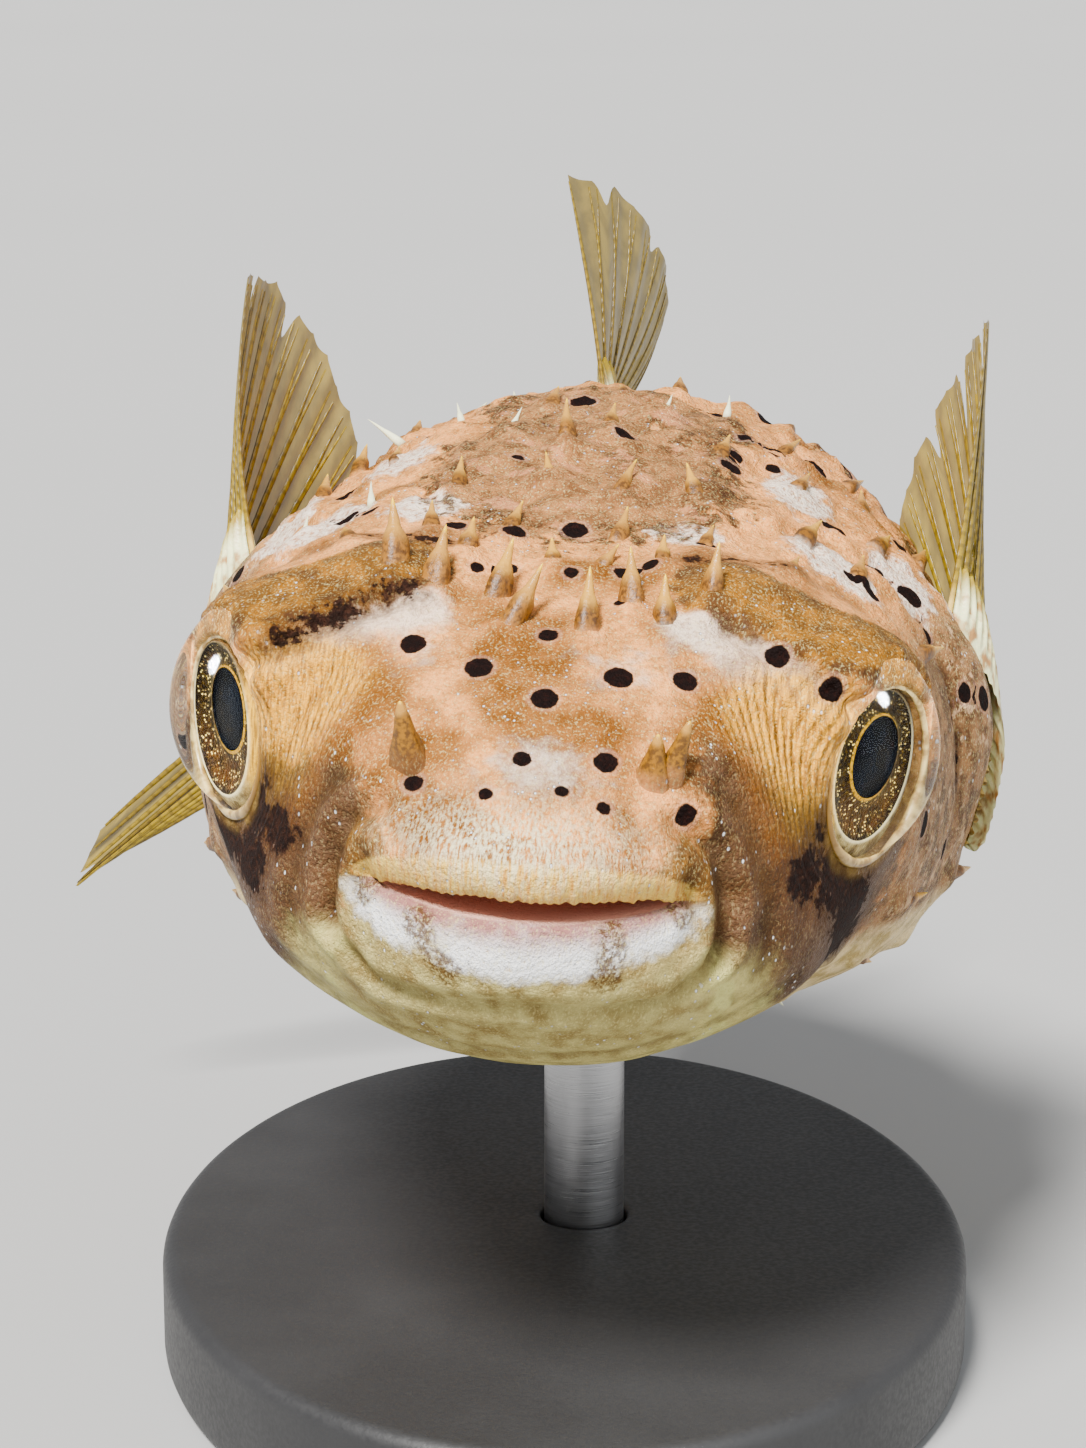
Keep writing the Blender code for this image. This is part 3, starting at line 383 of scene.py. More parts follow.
# The crown of tall spines between the brows, and a few more of their own on
# the back: distance from the snout, angle from the midline (plus is the left),
# length (mm), lie-back (degrees) and lean towards the right.
CROWN_SPINES = [
    (19.8, -26.5, 5.2, 54, 0.10), (18.6, -20.5, 4.6, 54, 0.05), (23.1, -15.8, 3.2, 56, 0.0), (17.9, -10.9, 4.8, 50, -0.19),
    (15.3, -8.4, 5.0, 50, -0.70), (22.7, -1.6, 2.4, 56, 0.18), (14.9, 6.1, 5.0, 50, 0.0), (14.6, 11.2, 4.2, 50, 0.18),
    (22.4, 5.4, 2.6, 56, -0.6), (18.2, 13.0, 4.5, 50, 0.08), (16.3, 19.4, 3.9, 50, 0.15), (23.4, 15.5, 2.8, 58, 0.0),
    (19.1, 24.8, 4.2, 50, -0.11), (42.2, -4.2, 4.6, 58, 0.18), (34.9, 17.6, 3.4, 58, 0.49), (34.4, -4.6, 3.0, 58, 0.27),
    (52.5, -33.0, 5.8, 50, 0.80),
]


def spine_list():
    """(root, way, length, lie) of every spine: canonical root and unit way, with the length in mm."""
    chance = np.random.RandomState(41)
    at_y, at_v, length, lie, lean = [], [], [], [], []
    for y, angle, size, back, tilt in CROWN_SPINES:
        at_y.append(y)
        at_v.append(math.radians(90.0 - angle))
        length.append(size)
        lie.append(math.radians(back))
        lean.append(tilt)
    for y, low, high, step, size, back in SPINE_ROWS:
        for side in (1, -1):
            a = low
            while a <= high:
                shift = chance.uniform(-1, 1, 5)
                at_y.append(y + 0.9 * shift[0])
                at_v.append(math.pi / 2 - side * math.radians(a + 0.14 * step * shift[1]))
                length.append(size * (1 + 0.16 * shift[2]))
                lie.append(math.radians(back + 5 * shift[3]))
                lean.append(0.24 * shift[4])
                a += step
    at_y, at_v, length, lie, lean = (np.array(x) for x in (at_y, at_v, length, lie, lean))
    along = np.array([along_at(y, v) for y, v in zip(at_y, at_v)])
    root, normal = skin_points(along, at_v), skin_normals(along, at_v)
    tail = np.array((0.0, 1.0, 0.0)) - normal * normal[:, 1:2]
    tail /= np.linalg.norm(tail, axis=-1, keepdims=True)
    tail = unit(tail + np.cross(normal, tail) * lean[:, None])
    way = normal * np.cos(lie)[:, None] + tail * np.sin(lie)[:, None]
    # none where the eyes, the fins, the gill slits and the cuts between the parts are
    keep = np.linalg.norm(mirrored(root) - EYE_CENTRE, axis=-1) > 12.0
    line = posed(root[:, None] + way[:, None] * (length[:, None] * np.linspace(0, 1, 5))[..., None])
    for name in FIN_RAYS:
        sheet = fin_points(name, np.linspace(0, 1, 24)[:, None], np.linspace(0, 1, 20)[None, :]).reshape(-1, 3)
        gap = np.linalg.norm(line[:, :, None] - sheet, axis=-1).min(axis=(1, 2))
        keep &= gap > 2.2 * MM
    for cut in CUTS:
        keep &= np.abs(root[:, 1] - cut) > 1.6
    q = mirrored(root)
    keep &= ~((np.abs(q[:, 1] - 41.2) < 2.0) & (np.abs(q[:, 2] + 1.0) < 9.0) & (q[:, 0] > 18))
    keep &= np.linalg.norm(root[:, :2] - np.array(ROD_AT), axis=-1) + np.where(root[:, 2] < -10, 0, 99) > 5.5
    keep &= root[:, 1] < 97.0
    # and none so close to another that their feet meet
    chosen = []
    for i in np.flatnonzero(keep):
        if all(np.linalg.norm(root[i] - root[j]) > 2.35 for j in chosen):
            chosen.append(i)
    return root[chosen], way[chosen], length[chosen], normal[chosen]


NOSTRIL = (19.3, math.radians(61.0))    # place of a nasal tentacle: distance over the stations, angle
NOSTRIL_SIZE = (1.5, 4.3)               # radius at its foot, and height


def nostril_tubes():
    """(root, way, normal) of the two nasal tentacles, which stand up and lean a little ahead."""
    out = []
    for side in (1, -1):
        v = math.pi / 2 - side * (math.pi / 2 - NOSTRIL[1])
        a, b = np.array([NOSTRIL[0]]), np.array([v])
        root, normal = skin_points(a, b)[0], skin_normals(a, b)[0]
        way = unit(normal * 0.55 + np.array((side * 0.05, 0.10, 0.80)))
        out.append((root, way, normal))
    return out


# ---------------------------------------------------------------- noise and distances
def noise3(p, seed=0):
    """Smooth value noise from -1 to 1 at points p."""
    q = np.floor(p)
    f = p - q
    q = q.astype(np.int64)
    f = f * f * f * (f * (f * 6 - 15) + 10)
    out = np.zeros(p.shape[:-1])
    for dx in (0, 1):
        for dy in (0, 1):
            for dz in (0, 1):
                h = ((q[..., 0] + dx) * 73856093) ^ ((q[..., 1] + dy) * 19349663) ^ ((q[..., 2] + dz) * 83492791) ^ (seed * 40503 + 12345)
                h = h & 0xFFFFFFFF
                h = ((h ^ (h >> 15)) * 2246822519) & 0xFFFFFFFF
                h = ((h ^ (h >> 13)) * 3266489917) & 0xFFFFFFFF
                h = (h ^ (h >> 16)) & 0xFFFF
                w = (f[..., 0] if dx else 1 - f[..., 0]) * (f[..., 1] if dy else 1 - f[..., 1]) * (f[..., 2] if dz else 1 - f[..., 2])
                out += w * (h / 32767.5 - 1)
    return out


def cloud(p, size, octaves=3, seed=0):
    """Noise in octaves; size is the largest feature in mm."""
    out, gain = np.zeros(p.shape[:-1]), 0.0
    for k in range(octaves):
        a = 0.5**k
        out += a * noise3(p * (2.0**k / size) + 17.3 * k, seed + k)
        gain += a
    return out / gain


def line_gap(p, line):
    """Distance from points p to a line through the given points."""
    line = np.asarray(line, float)
    best = np.full(p.shape[:-1], 1e9)
    for a, b in zip(line[:-1], line[1:]):
        d = b - a
        k = np.clip(((p - a) @ d) / (d @ d), 0, 1)
        best = np.minimum(best, np.linalg.norm(p - a - k[..., None] * d, axis=-1))
    return best


def blob_gap(p, centre, size):
    """About the signed distance to an ellipsoid, negative inside."""
    size = np.asarray(size, float)
    q = (p - np.asarray(centre, float)) / size
    r = np.linalg.norm(q, axis=-1)
    return (r - 1) * size.min()


# ---------------------------------------------------------------- markings
# Round dark spots: (x, y, z, radius) in the canonical frame, mm. Each is moved
# to the nearest skin.
FACE_SPOTS = [
    (-8.8, 14.0, 7.8, 0.80), (-4.4, 11.7, 7.1, 0.86), (0.2, 9.2, 5.9, 0.82), (-0.3, 14.8, 8.7, 0.62), (4.7, 11.6, 7.0, 0.88),
    (8.8, 12.7, 6.9, 0.76), (-0.8, 5.2, 3.1, 0.55), (4.4, 5.9, 3.2, 0.72), (-2.7, 3.1, 1.1, 0.46), (2.1, 3.6, 1.6, 0.42),
    (4.6, 3.4, 0.8, 0.44), (9.6, 5.3, 0.1, 0.62), (-7.2, 4.7, 1.0, 0.55), (14.4, 16.3, 8.2, 0.75), (18.0, 15.1, 6.6, 0.78),
    (-7.9, 27.6, 12.8, 0.66), (0.3, 28.0, 13.1, 0.84), (-3.7, 26.5, 12.7, 0.74), (8.9, 27.2, 12.7, 0.66), (-18.0, 35.9, 11.1, 0.6),
    (-14.2, 32.1, 12.3, 0.62), (-10.7, 22.0, 12.1, 0.55), (-3.4, 21.9, 11.3, 0.60), (-5.4, 21.5, 11.3, 0.46), (0.6, 21.7, 11.1, 0.46),
    (3.9, 22.3, 11.5, 0.60), (5.6, 22.9, 11.8, 0.55), (4.0, 18.3, 10.1, 0.40), (9.7, 47.1, 15.9, 0.55), (12.4, 49.3, 15.2, 0.55),
    (9.7, 53.0, 16.1, 0.5), (4.9, 55.1, 17.1, 0.5), (-5.3, 38.9, 15.6, 0.45), (18.8, 33.5, 10.2, 0.65), (20.3, 39.3, 9.9, 0.6),
    (21.2, 42.7, 9.7, 0.5), (27.3, 43.0, 0.8, 0.7), (24.7, 41.6, 4.9, 0.6),
]


def side_spots():
    """Spots over the back, flanks and tail base, spaced by chance but never close together."""
    chance = np.random.RandomState(9)
    chosen = []
    for _ in range(2600):
        y, v = chance.uniform(31, 96), chance.uniform(-0.32, math.pi + 0.32)
        r = chance.uniform(0.55, 1.05)
        if any(abs(y - a) < 5.2 and abs(v - b) * 19 < 5.2 for a, b, _ in chosen):
            continue
        if y < 44 and abs(v - math.pi / 2) < 0.62:
            continue
        chosen.append((y, v, r))
    at = np.array([along_at(y, v) for y, v, _ in chosen])
    p = skin_points(at, np.array([v for _, v, _ in chosen]))
    return [(*q, r) for q, (_, _, r) in zip(p, chosen)]


BROW_LINE = [(24.0, 22.0, 7.0), (22.0, 20.2, 8.4), (19.0, 18.6, 9.4), (16.5, 18.8, 10.6), (13.5, 19.4, 11.2), (10.5, 20.6, 11.6)]
BROW_EDGE = [(20.6, 16.2, 5.9), (18.9, 15.9, 6.9), (17.0, 15.9, 7.9), (14.0, 16.6, 9.2), (11.4, 17.9, 10.2), (9.0, 19.6, 10.9)]


def fields(p, along, v, spots):
    """Everything that the skin's colour is worked out from, at points p of the skin."""
    m = mirrored(p)
    x, y, z = p[..., 0], p[..., 1], p[..., 2]
    X = m[..., 0]
    top = np.sin(v)
    f = {}
    gap = np.full(x.shape, 9.0)
    centre, size = np.zeros(p.shape) + (0.0, 0.0, -90.0), np.zeros(x.shape)
    for sx, sy, sz, r in spots:
        near = (np.abs(y - sy) < r + 3) & (np.abs(x - sx) < r + 3) & (np.abs(z - sz) < r + 3)
        if near.any():
            d = np.linalg.norm(p[near] - np.array((sx, sy, sz)), axis=-1) - r
            closer = d < gap[near]
            where = tuple(k[closer] for k in np.nonzero(near))
            gap[where], centre[where], size[where] = d[closer], (sx, sy, sz), r
    f["spot"] = np.minimum(gap, 3.0)
    f["spot_r"] = size
    f["spot_at"] = centre

    # dark maroon marks: the blotches below each eye and a line along the gill slit, and painted shadow along the lower
    # edge of the fish's right brow
    right = x < 0
    uneven = cloud(m + np.array((0, 0, 3.0)), 2.2, 2, 5)
    # painted shadow: a ragged line under the fish's right brow
    edge = line_gap(p, [(-17.6, 15.4, 7.1), (-16.4, 15.7, 7.6), (-14.6, 16.2, 8.7), (-12.8, 17.0, 9.7), (-11.2, 17.7, 10.3), (-9.8, 17.7, 10.3)])
    edge = np.where(right, edge - (0.26 + 0.75 * smooth(uneven, -0.30, 0.45)), 9.0)
    under = blob_gap(p, (-18.8, 15.0, -4.4), (1.6, 3.2, 1.9))
    under = np.minimum(under, blob_gap(p, (-16.6, 11.8, -4.4), (1.8, 2.2, 1.5)))
    under = np.minimum(under, blob_gap(p, (-18.8, 15.2, -7.6), (2.0, 3.0, 2.2)))
    under = np.minimum(under, blob_gap(p, (-21.0, 20.6, -7.4), (2.4, 4.0, 2.0)))
    under = np.minimum(under, blob_gap(p, (17.4, 12.8, -5.2), (2.0, 2.6, 1.7)))
    under = np.minimum(under, blob_gap(p, (19.6, 16.4, -6.4), (2.6, 3.4, 2.2)))
    under = np.minimum(under, blob_gap(p, (20.2, 19.4, -9.6), (2.4, 3.2, 3.0)))
    under = np.minimum(under, blob_gap(p, (20.6, 22.6, -12.6), (1.8, 3.2, 1.9)))
    under = np.minimum(under, line_gap(p, [(17.8, 13.9, -2.4), (18.4, 14.6, -3.6)]) - 0.42)
    under = np.minimum(under, line_gap(p, [(-17.9, 13.4, -1.8), (-18.2, 13.8, -3.2)]) - 0.40)
    gill = line_gap(m, [(24.8, 40.4, 5.0), (25.9, 41.0, 1.0), (26.2, 41.2, -4.0), (25.6, 41.0, -8.0)]) - 0.45
    rear_edge = line_gap(m, [(8.0, 24.2, 12.4), (10.0, 24.6, 12.4), (13.5, 25.6, 12.5), (17.0, 26.8, 11.8), (20.5, 28.6, 9.8)]) - 0.30 * (1 + uneven)
    f["dark"] = np.clip(np.minimum.reduce([edge, under, gill, rear_edge]), -3, 3)
    low = top < 0
    smudge = np.minimum(line_gap(p, [(-6.3, 2.0, -6.8), (-5.2, 1.8, -8.6), (-4.2, 1.6, -9.6)]) - 0.7, line_gap(p, [(5.6, 1.8, -6.8), (5.4, 1.8, -9.6)]) - 0.75)
    smudge = np.minimum(smudge, line_gap(m, [(9.3, 3.6, -4.6), (9.9, 4.4, -6.0)]) - 0.45)
    f["smudge"] = np.clip(1.0 - smudge / 1.1, 0, 1) * low + np.clip(1.0 - (line_gap(m, [(9.6, 3.4, -2.0), (10.6, 4.6, -3.4)]) - 0.7) / 1.1, 0, 1) * 0.7

    # brown saddles on the nape, before the dorsal fin and on the shoulders
    saddle = blob_gap(p, (0.0, 37.5, 15.5), (11.0, 13.0, 5.0))
    saddle = np.minimum(saddle, blob_gap(p, (0.0, 54.0, 17.0), (9.6, 7.0, 4.5)))
    saddle = np.minimum(saddle, blob_gap(p, (0.0, 85.0, 10.0), (9.0, 8.5, 8.0)))
    saddle = np.minimum(saddle, blob_gap(m, (25.0, 57.0, 5.0), (5.0, 6.0, 5.0)))
    saddle = np.minimum(saddle, blob_gap(m, (17.0, 68.0, 9.5), (5.0, 4.5, 4.0)))
    f["saddle"] = np.clip(saddle, -4, 6)

    pale = np.maximum.reduce([
        bump(m, (18.5, 34.0, 11.2), (4.6, 3.6, 3.4)), 0.95 * bump(m, (14.6, 45.5, 14.4), (3.0, 5.0, 3.4)),
        0.8 * bump(p, (7.6, 28.8, 13.0), (3.0, 2.2, 3.0)), 0.9 * bump(m, (22.5, 43.5, 8.6), (3.2, 4.4, 3.6)),
        0.85 * bump(p, (-10.2, 31.0, 13.2), (3.2, 2.4, 3.0)), 0.9 * bump(m, (26.5, 50.0, 7.5), (3.6, 3.8, 3.6)),
    ])
    f["pale"] = np.clip(pale * 1.25, 0, 1)
    # near white just under the brows
    below = line_gap(m, [(17.4, 14.9, 5.9), (15.0, 15.4, 7.2), (12.6, 15.9, 8.4), (10.4, 16.4, 9.2), (8.2, 16.6, 9.5)])
    f["bright"] = np.clip(1.15 * np.exp(-((below / 1.5) ** 2)) + 0.62 * bump(p, (0.3, 5.0, 2.4), (4.8, 3.6, 2.6)) + 0.45 * bump(p, (5.0, 12.5, 7.6), (5.0, 4.0, 2.6)) + 0.45 * bump(p, (-8.5, 13.5, 7.4), (3.4, 4.0, 2.4)) + 0.6 * bump(p, (12.2, 14.5, 7.6), (2.2, 2.6, 2.2)), 0, 1)

    f["brow"] = np.clip(line_gap(m, BROW_LINE) - 3.5, -3, 4) + 5 * smooth(along, along_of("orbit_front") + 1.0, along_of("orbit_front") - 1.0)
    f["cream"] = np.clip(1.25 * bump(m, (17.6, 12.8, 1.8), (4.0, 4.6, 5.4)) + 1.1 * bump(m, (14.8, 13.4, 5.4), (4.2, 4.0, 2.6)) + 0.5 * bump(m, (19.5, 15.0, -3.0), (2.6, 3.0, 3.0)), 0, 1)
    # the cheeks: the sides below the eyes and the lower sides of the head, which the skin's colour darkens, partly as
    # painted shade
    cheek = smooth(z, 1.6, -2.4) * smooth(X, 10.0, 12.4) + smooth(z, -7.0, -11.0) * smooth(X, 8.0, 13.0)
    cheek = cheek + 0.9 * bump(p, (13.0, 9.6, 0.8), (2.6, 3.0, 2.6)) + 1.0 * bump(p, (-12.6, 8.2, -1.4), (3.0, 3.4, 2.8)) + 0.55 * bump(p, (10.6, 7.6, 2.6), (2.2, 3.0, 2.2))
    f["cheek"] = np.clip(cheek, 0, 1) * smooth(y, 34.0, 21.0)
    f["tan"] = np.clip(0.9 * bump(m, (10.4, 9.6, 3.6), (2.6, 3.0, 3.0)) + 0.5 * bump(p, (6.0, 9.0, 4.4), (2.4, 3.0, 2.0)) + 0.7 * bump(p, (-6.8, 6.6, 2.2), (2.4, 3.0, 1.8))
                       + 0.85 * bump(p, (-2.4, 12.6, 7.2), (3.4, 3.2, 2.4)) + 0.3 * bump(p, (1.8, 8.0, 5.2), (2.0, 2.6, 1.8)) + 0.6 * bump(m, (7.0, 3.6, -0.6), (2.6, 2.4, 1.4)), 0, 1)
    f["flank"] = smooth(X, 15.0, 21.0) * smooth(y, 25.0, 31.0) * smooth(z, 9.0, 4.0)

    under_side = smooth(z, -11.5, -17.0) * smooth(y, 8.0, 22.0)
    f["belly"] = np.clip(under_side + 0.0, 0, 1)
    chin = smooth(z, -7.2, -12.0) * smooth(y, 30.0, 18.0) * smooth(X, 18.0, 12.0)
    f["chin"] = np.clip(chin, 0, 1)

    lip_in, lip_out = along_of("lip_edge"), along_of("lip_outer")
    band = smooth(along, lip_in - 1.6, lip_in - 0.6)
    inside_fold = smooth(X, 13.4, 9.8)
    f["lip_top"] = band * smooth(along, lip_in + 2.9, lip_in + 1.3) * smooth(top, -0.12, 0.10)
    f["muzzle"] = np.clip(1.15 * bump(p, (-1.0, 1.0, -1.5), (6.6, 4.0, 2.3)), 0, 1) * smooth(top, -0.1, 0.1)
    patches = 0.55 + 0.6 * bump(p, (-8.2, 3.4, -7.6), (1.7, 3.0, 1.6)) + 0.6 * bump(p, (0.4, 0.8, -8.4), (4.6, 3.0, 1.9)) + 0.6 * bump(p, (8.3, 3.6, -6.6), (1.7, 3.0, 1.5))
    f["lip_low"] = band * smooth(along, lip_out + 0.9, lip_out - 1.6) * smooth(top, 0.10, -0.12) * np.clip(patches, 0, 1.1)
    f["pad"] = inside_fold * smooth(z, 0.6, -2.4) * smooth(y, 12.0, 8.0) * np.maximum(smooth(top, 0.05, -0.20), smooth(X, 6.6, 9.6))
    f["corner"] = smooth(X, 6.2, 9.0) * smooth(z, -7.4, -4.2)
    f["inlip"] = smooth(along, lip_in + 2.1, lip_in + 0.3) * low
    # closeness to the grooves, which the skin's colour darkens with brown as painted shade
    groove_shade = np.zeros(x.shape)
    for line, _, width, both in GROOVES:
        groove_shade = np.maximum(groove_shade, np.exp(-((line_gap(m if both else p, line) / (0.9 * width)) ** 2)))
    f["groove_shade"] = groove_shade
    f["mouth"] = smooth(along, lip_in + 0.1, lip_in - 1.0)
    f["deep"] = smooth(along, along_of("lip_inner"), along_of("mouth_back"))

    d = m - EYE_CENTRE
    axial = d @ EYE_AXIS
    flat = d - axial[..., None] * EYE_AXIS
    r = np.linalg.norm(flat, axis=-1)
    f["eye_r"] = np.where((axial > -9) & (r < 14), r, 14.0)
    down = -flat[..., 2] / np.maximum(r, 1e-6)
    f["rim"] = smooth(r, 6.3 + 0.9 * smooth(down, 0.0, 0.9), 5.8 + 0.5 * smooth(down, 0.0, 0.9)) * smooth(axial, -1.0, 1.0)
    return f


# ---------------------------------------------------------------- fine form of the skin
GROOVES = [  # line, depth, half-width (mm), on both sides
    ([(12.6, 6.6, -8.6), (9.2, 5.2, -12.2), (4.5, 2.4, -12.6), (0.0, 1.6, -12.2)], 0.62, 0.75, True),      # fold of the chin
    ([(12.3, 6.6, -8.8), (12.6, 6.9, -5.4), (11.6, 6.2, -2.2), (9.4, 4.6, -0.2)], 0.85, 0.80, True),       # fold round the mouth's corner
    ([(15.4, 9.9, -10.6), (15.2, 9.8, -6.0), (13.8, 8.6, -1.4), (12.2, 7.6, 1.4)], 0.30, 0.9, True),
    ([(24.6, 39.0, 6.2), (25.9, 40.8, 1.0), (26.2, 41.0, -4.0), (25.2, 40.6, -9.0)], 0.6, 0.55, True),     # gill slit
    ([(17.0, 13.0, -13.0), (12.0, 9.8, -16.0), (5.0, 7.4, -17.2), (0.0, 7.0, -17.4)], 0.25, 0.9, True),
    ([(20.8, 15.6, 4.6), (18.4, 14.9, 6.2), (15.0, 15.4, 8.4), (11.0, 16.8, 9.6)], 0.80, 0.8, True),       # under the brow
    ([(9.6, 3.9, -3.6), (10.4, 4.9, -5.6), (9.4, 4.6, -7.6)], 0.35, 0.5, True),                             # corner of the lower lip
]


def fine_height(p, along, v, spines):
    """Height in mm of the small forms on the skin."""
    m = mirrored(p)
    x, y, z = p[..., 0], p[..., 1], p[..., 2]
    top = np.sin(v)
    h = np.zeros(x.shape)
    for line, depth, width, both in GROOVES:
        d = line_gap(m if both else p, line)
        h -= depth * np.exp(-((d / width) ** 2)) * (0.75 + 0.35 * cloud(p, 3.0, 2, 31))
        h += 0.35 * depth * np.exp(-(((d - 2.1 * width) / width) ** 2))
    # fleshy foot of each spine, drawn out towards its tip
    root, way, _, _ = spines
    for q, w in zip(root, way):
        near = np.abs(y - q[1]) < 4.2
        near &= (np.abs(x - q[0]) < 4.2) & (np.abs(z - q[2]) < 4.2)
        if not near.any():
            continue
        d = p[near] - q
        k = np.clip(d @ w, -0.5, 1.4)
        d = np.linalg.norm(d - k[:, None] * w, axis=-1)
        h[near] += (0.62 if q[1] < 24 else 0.50) * np.exp(-((d / 1.25) ** 2)) * (1 - 0.30 * np.clip(k, 0, 1.4) / 1.4)
    # uneven back and brows
    back = smooth(y, 22.0, 34.0) * smooth(z, 2.0, 9.0)
    h += back * (0.85 * cloud(p, 3.0, 3, 3) + 0.30 * cloud(p, 1.3, 2, 4))
    brow = smooth(line_gap(m, BROW_LINE), 4.5, 2.0)
    h += brow * (0.38 * cloud(m + 5, 2.4, 3, 6))
    h += 0.25 * np.exp(-((line_gap(m, BROW_EDGE) / 0.8) ** 2)) * (0.5 + cloud(p, 1.6, 2, 8))
    h += 0.10 * cloud(p, 5.0, 2, 9) * smooth(y, 4.0, 12.0)
    h += 0.16 * cloud(p, 2.0, 3, 19) * smooth(y, 14, 30) * smooth(z, 2.0, -4.0)
    # upper lip: a fringe of short upright pleats, only along its lower edge
    warp = 0.5 * noise3(np.stack([x * 0.5, y * 0.1, z * 0.3], -1), 12)
    lip = smooth(along, along_of("lip_inner"), along_of("lip_edge")) * smooth(along, along_of("lip_edge") + 1.5, along_of("lip_edge") + 0.4) * smooth(top, 0.02, 0.25)
    h += lip * 0.06 * np.sin(2 * math.pi * (x / 0.60 + warp))
    edge = np.exp(-(((along - along_of("lip_edge")) / 0.55) ** 2)) * smooth(top, 0.0, 0.2)
    h += edge * (0.14 + 0.12 * noise3(np.stack([x * 1.8, y * 0, z * 0], -1), 13))
    low = smooth(along, along_of("lip_inner"), along_of("lip_edge")) * smooth(along, along_of("lip_outer") + 1.0, along_of("lip_crest")) * smooth(top, -0.02, -0.25)
    h += low * (0.18 * cloud(p * np.array((1.0, 0.4, 0.8)), 2.6, 2, 15))
    # soft roll of the upper lip, and the pillow of the chin between its folds
    h += 0.45 * np.exp(-((line_gap(m, [(9.0, 3.4, -2.6), (5.5, 0.9, -2.4), (0.0, 0.1, -2.4)]) / 1.7) ** 2))
    h += 0.30 * np.exp(-((line_gap(m, [(8.0, 3.2, -9.9), (0.0, 0.6, -9.6)]) / 1.7) ** 2))
    # creased skin between eye and snout, running alongside the eye
    d = m - EYE_CENTRE
    axial = d @ EYE_AXIS
    r = np.linalg.norm(d - axial[..., None] * EYE_AXIS, axis=-1)
    fore = smooth(y, 19.0, 15.0) * smooth(r, 6.6, 7.4) * smooth(r, 13.0, 9.0)
    h += fore * 0.05 * np.sin(2 * math.pi * (r / 1.05 + 0.6 * cloud(p, 4.0, 2, 21)))
    return h


def mesh_object(name, points, quads, made, tris=None, floats=None, vectors=None, uv=None, smooth_shading=True):
    """An object from arrays: points in metres, quads and tris of indices, attributes per point, and uv per point or per corner."""
    quads = np.asarray(quads, np.int32).reshape(-1, 4)
    tris = np.zeros((0, 3), np.int32) if tris is None else np.asarray(tris, np.int32).reshape(-1, 3)
    mesh = bpy.data.meshes.new(name)
    mesh.vertices.add(len(points))
    mesh.vertices.foreach_set("co", np.asarray(points, np.float32).ravel())
    corners = np.concatenate([quads.ravel(), tris.ravel()])
    mesh.loops.add(len(corners))
    mesh.loops.foreach_set("vertex_index", corners)
    sizes = np.concatenate([np.full(len(quads), 4, np.int32), np.full(len(tris), 3, np.int32)])
    mesh.polygons.add(len(sizes))
    mesh.polygons.foreach_set("loop_start", np.concatenate([[0], np.cumsum(sizes)[:-1]]).astype(np.int32))
    mesh.polygons.foreach_set("use_smooth", np.full(len(sizes), smooth_shading))
    mesh.update(calc_edges=True)
    for key, values in (floats or {}).items():
        mesh.attributes.new(key, "FLOAT", "POINT").data.foreach_set("value", np.asarray(values, np.float32).ravel())
    for key, values in (vectors or {}).items():
        mesh.attributes.new(key, "FLOAT_VECTOR", "POINT").data.foreach_set("vector", np.asarray(values, np.float32).ravel())
    if uv is not None:
        layer = mesh.uv_layers.new(name="OFBake")
        per_corner = uv if len(uv) == len(corners) and len(uv) != len(points) else np.asarray(uv)[corners]
        layer.data.foreach_set("uv", np.asarray(per_corner, np.float32).ravel())
    mesh.validate()
    if made:
        mesh.materials.append(made)
    thing = bpy.data.objects.new(name, mesh)
    bpy.context.scene.collection.objects.link(thing)
    return thing


def grid_quads(rows, columns, closed, start=0):
    """Quads over a grid of points in rows; closed joins the last column to the first."""
    j = np.arange(columns if closed else columns - 1)
    k = (j + 1) % columns
    i = np.arange(rows - 1)[:, None]
    a, b = start + i * columns + j, start + i * columns + k
    return np.stack([a, b, b + columns, a + columns], -1).reshape(-1, 4)


# ---------------------------------------------------------------- shader building
def linear(r, g, b):
    c = np.array((r, g, b), float) / 255
    c = np.where(c <= 0.04045, c / 12.92, ((c + 0.055) / 1.055) ** 2.4)
    return (*[float(k) for k in c], 1.0)


def shown(c):
    """The display colour (linear) of a scene colour in Blender's AgX view, which every picture of this scene goes through."""
    c = np.array([[0.6274, 0.3293, 0.0433], [0.0691, 0.9195, 0.0113], [0.0164, 0.0880, 0.8956]]) @ c
    c = np.array([[0.8566, 0.0951, 0.0483], [0.1373, 0.7612, 0.1014], [0.1119, 0.0768, 0.8113]]) @ c
    x = np.clip((np.log2(np.maximum(c, 1e-9)) + 12.474) / 16.5, 0, 1)
    c = 15.5 * x**6 - 40.14 * x**5 + 31.96 * x**4 - 6.868 * x**3 + 0.4298 * x**2 + 0.1191 * x - 0.00232
    c = np.array([[1.1271, -0.1106, -0.0165], [-0.1413, 1.1578, -0.0165], [-0.1413, -0.1106, 1.2519]]) @ c
    c = np.maximum(c, 0) ** 2.2
    return np.array([[1.6605, -0.5876, -0.0728], [-0.1246, 1.1329, -0.0083], [-0.0182, -0.1006, 1.1187]]) @ c


LIGHT = 4.1     # what a white surface of the model sends back under the studio's light


def tone(r, g, b, light=LIGHT, true=0.84):
    """The base colour of a surface that is to be seen as this colour: most of the way to what the AgX view needs."""
    plain = np.array(linear(r, g, b)[:3])
    seen = plain.copy()
    for _ in range(40):
        seen = np.clip(seen * (plain / np.maximum(shown(seen), 1e-4)) ** 0.6, 1e-4, 12.0)
    c = (seen / light) ** true * plain ** (1 - true)
    return (*[float(k) for k in np.clip(c, 0.0012, 0.92)], 1.0)


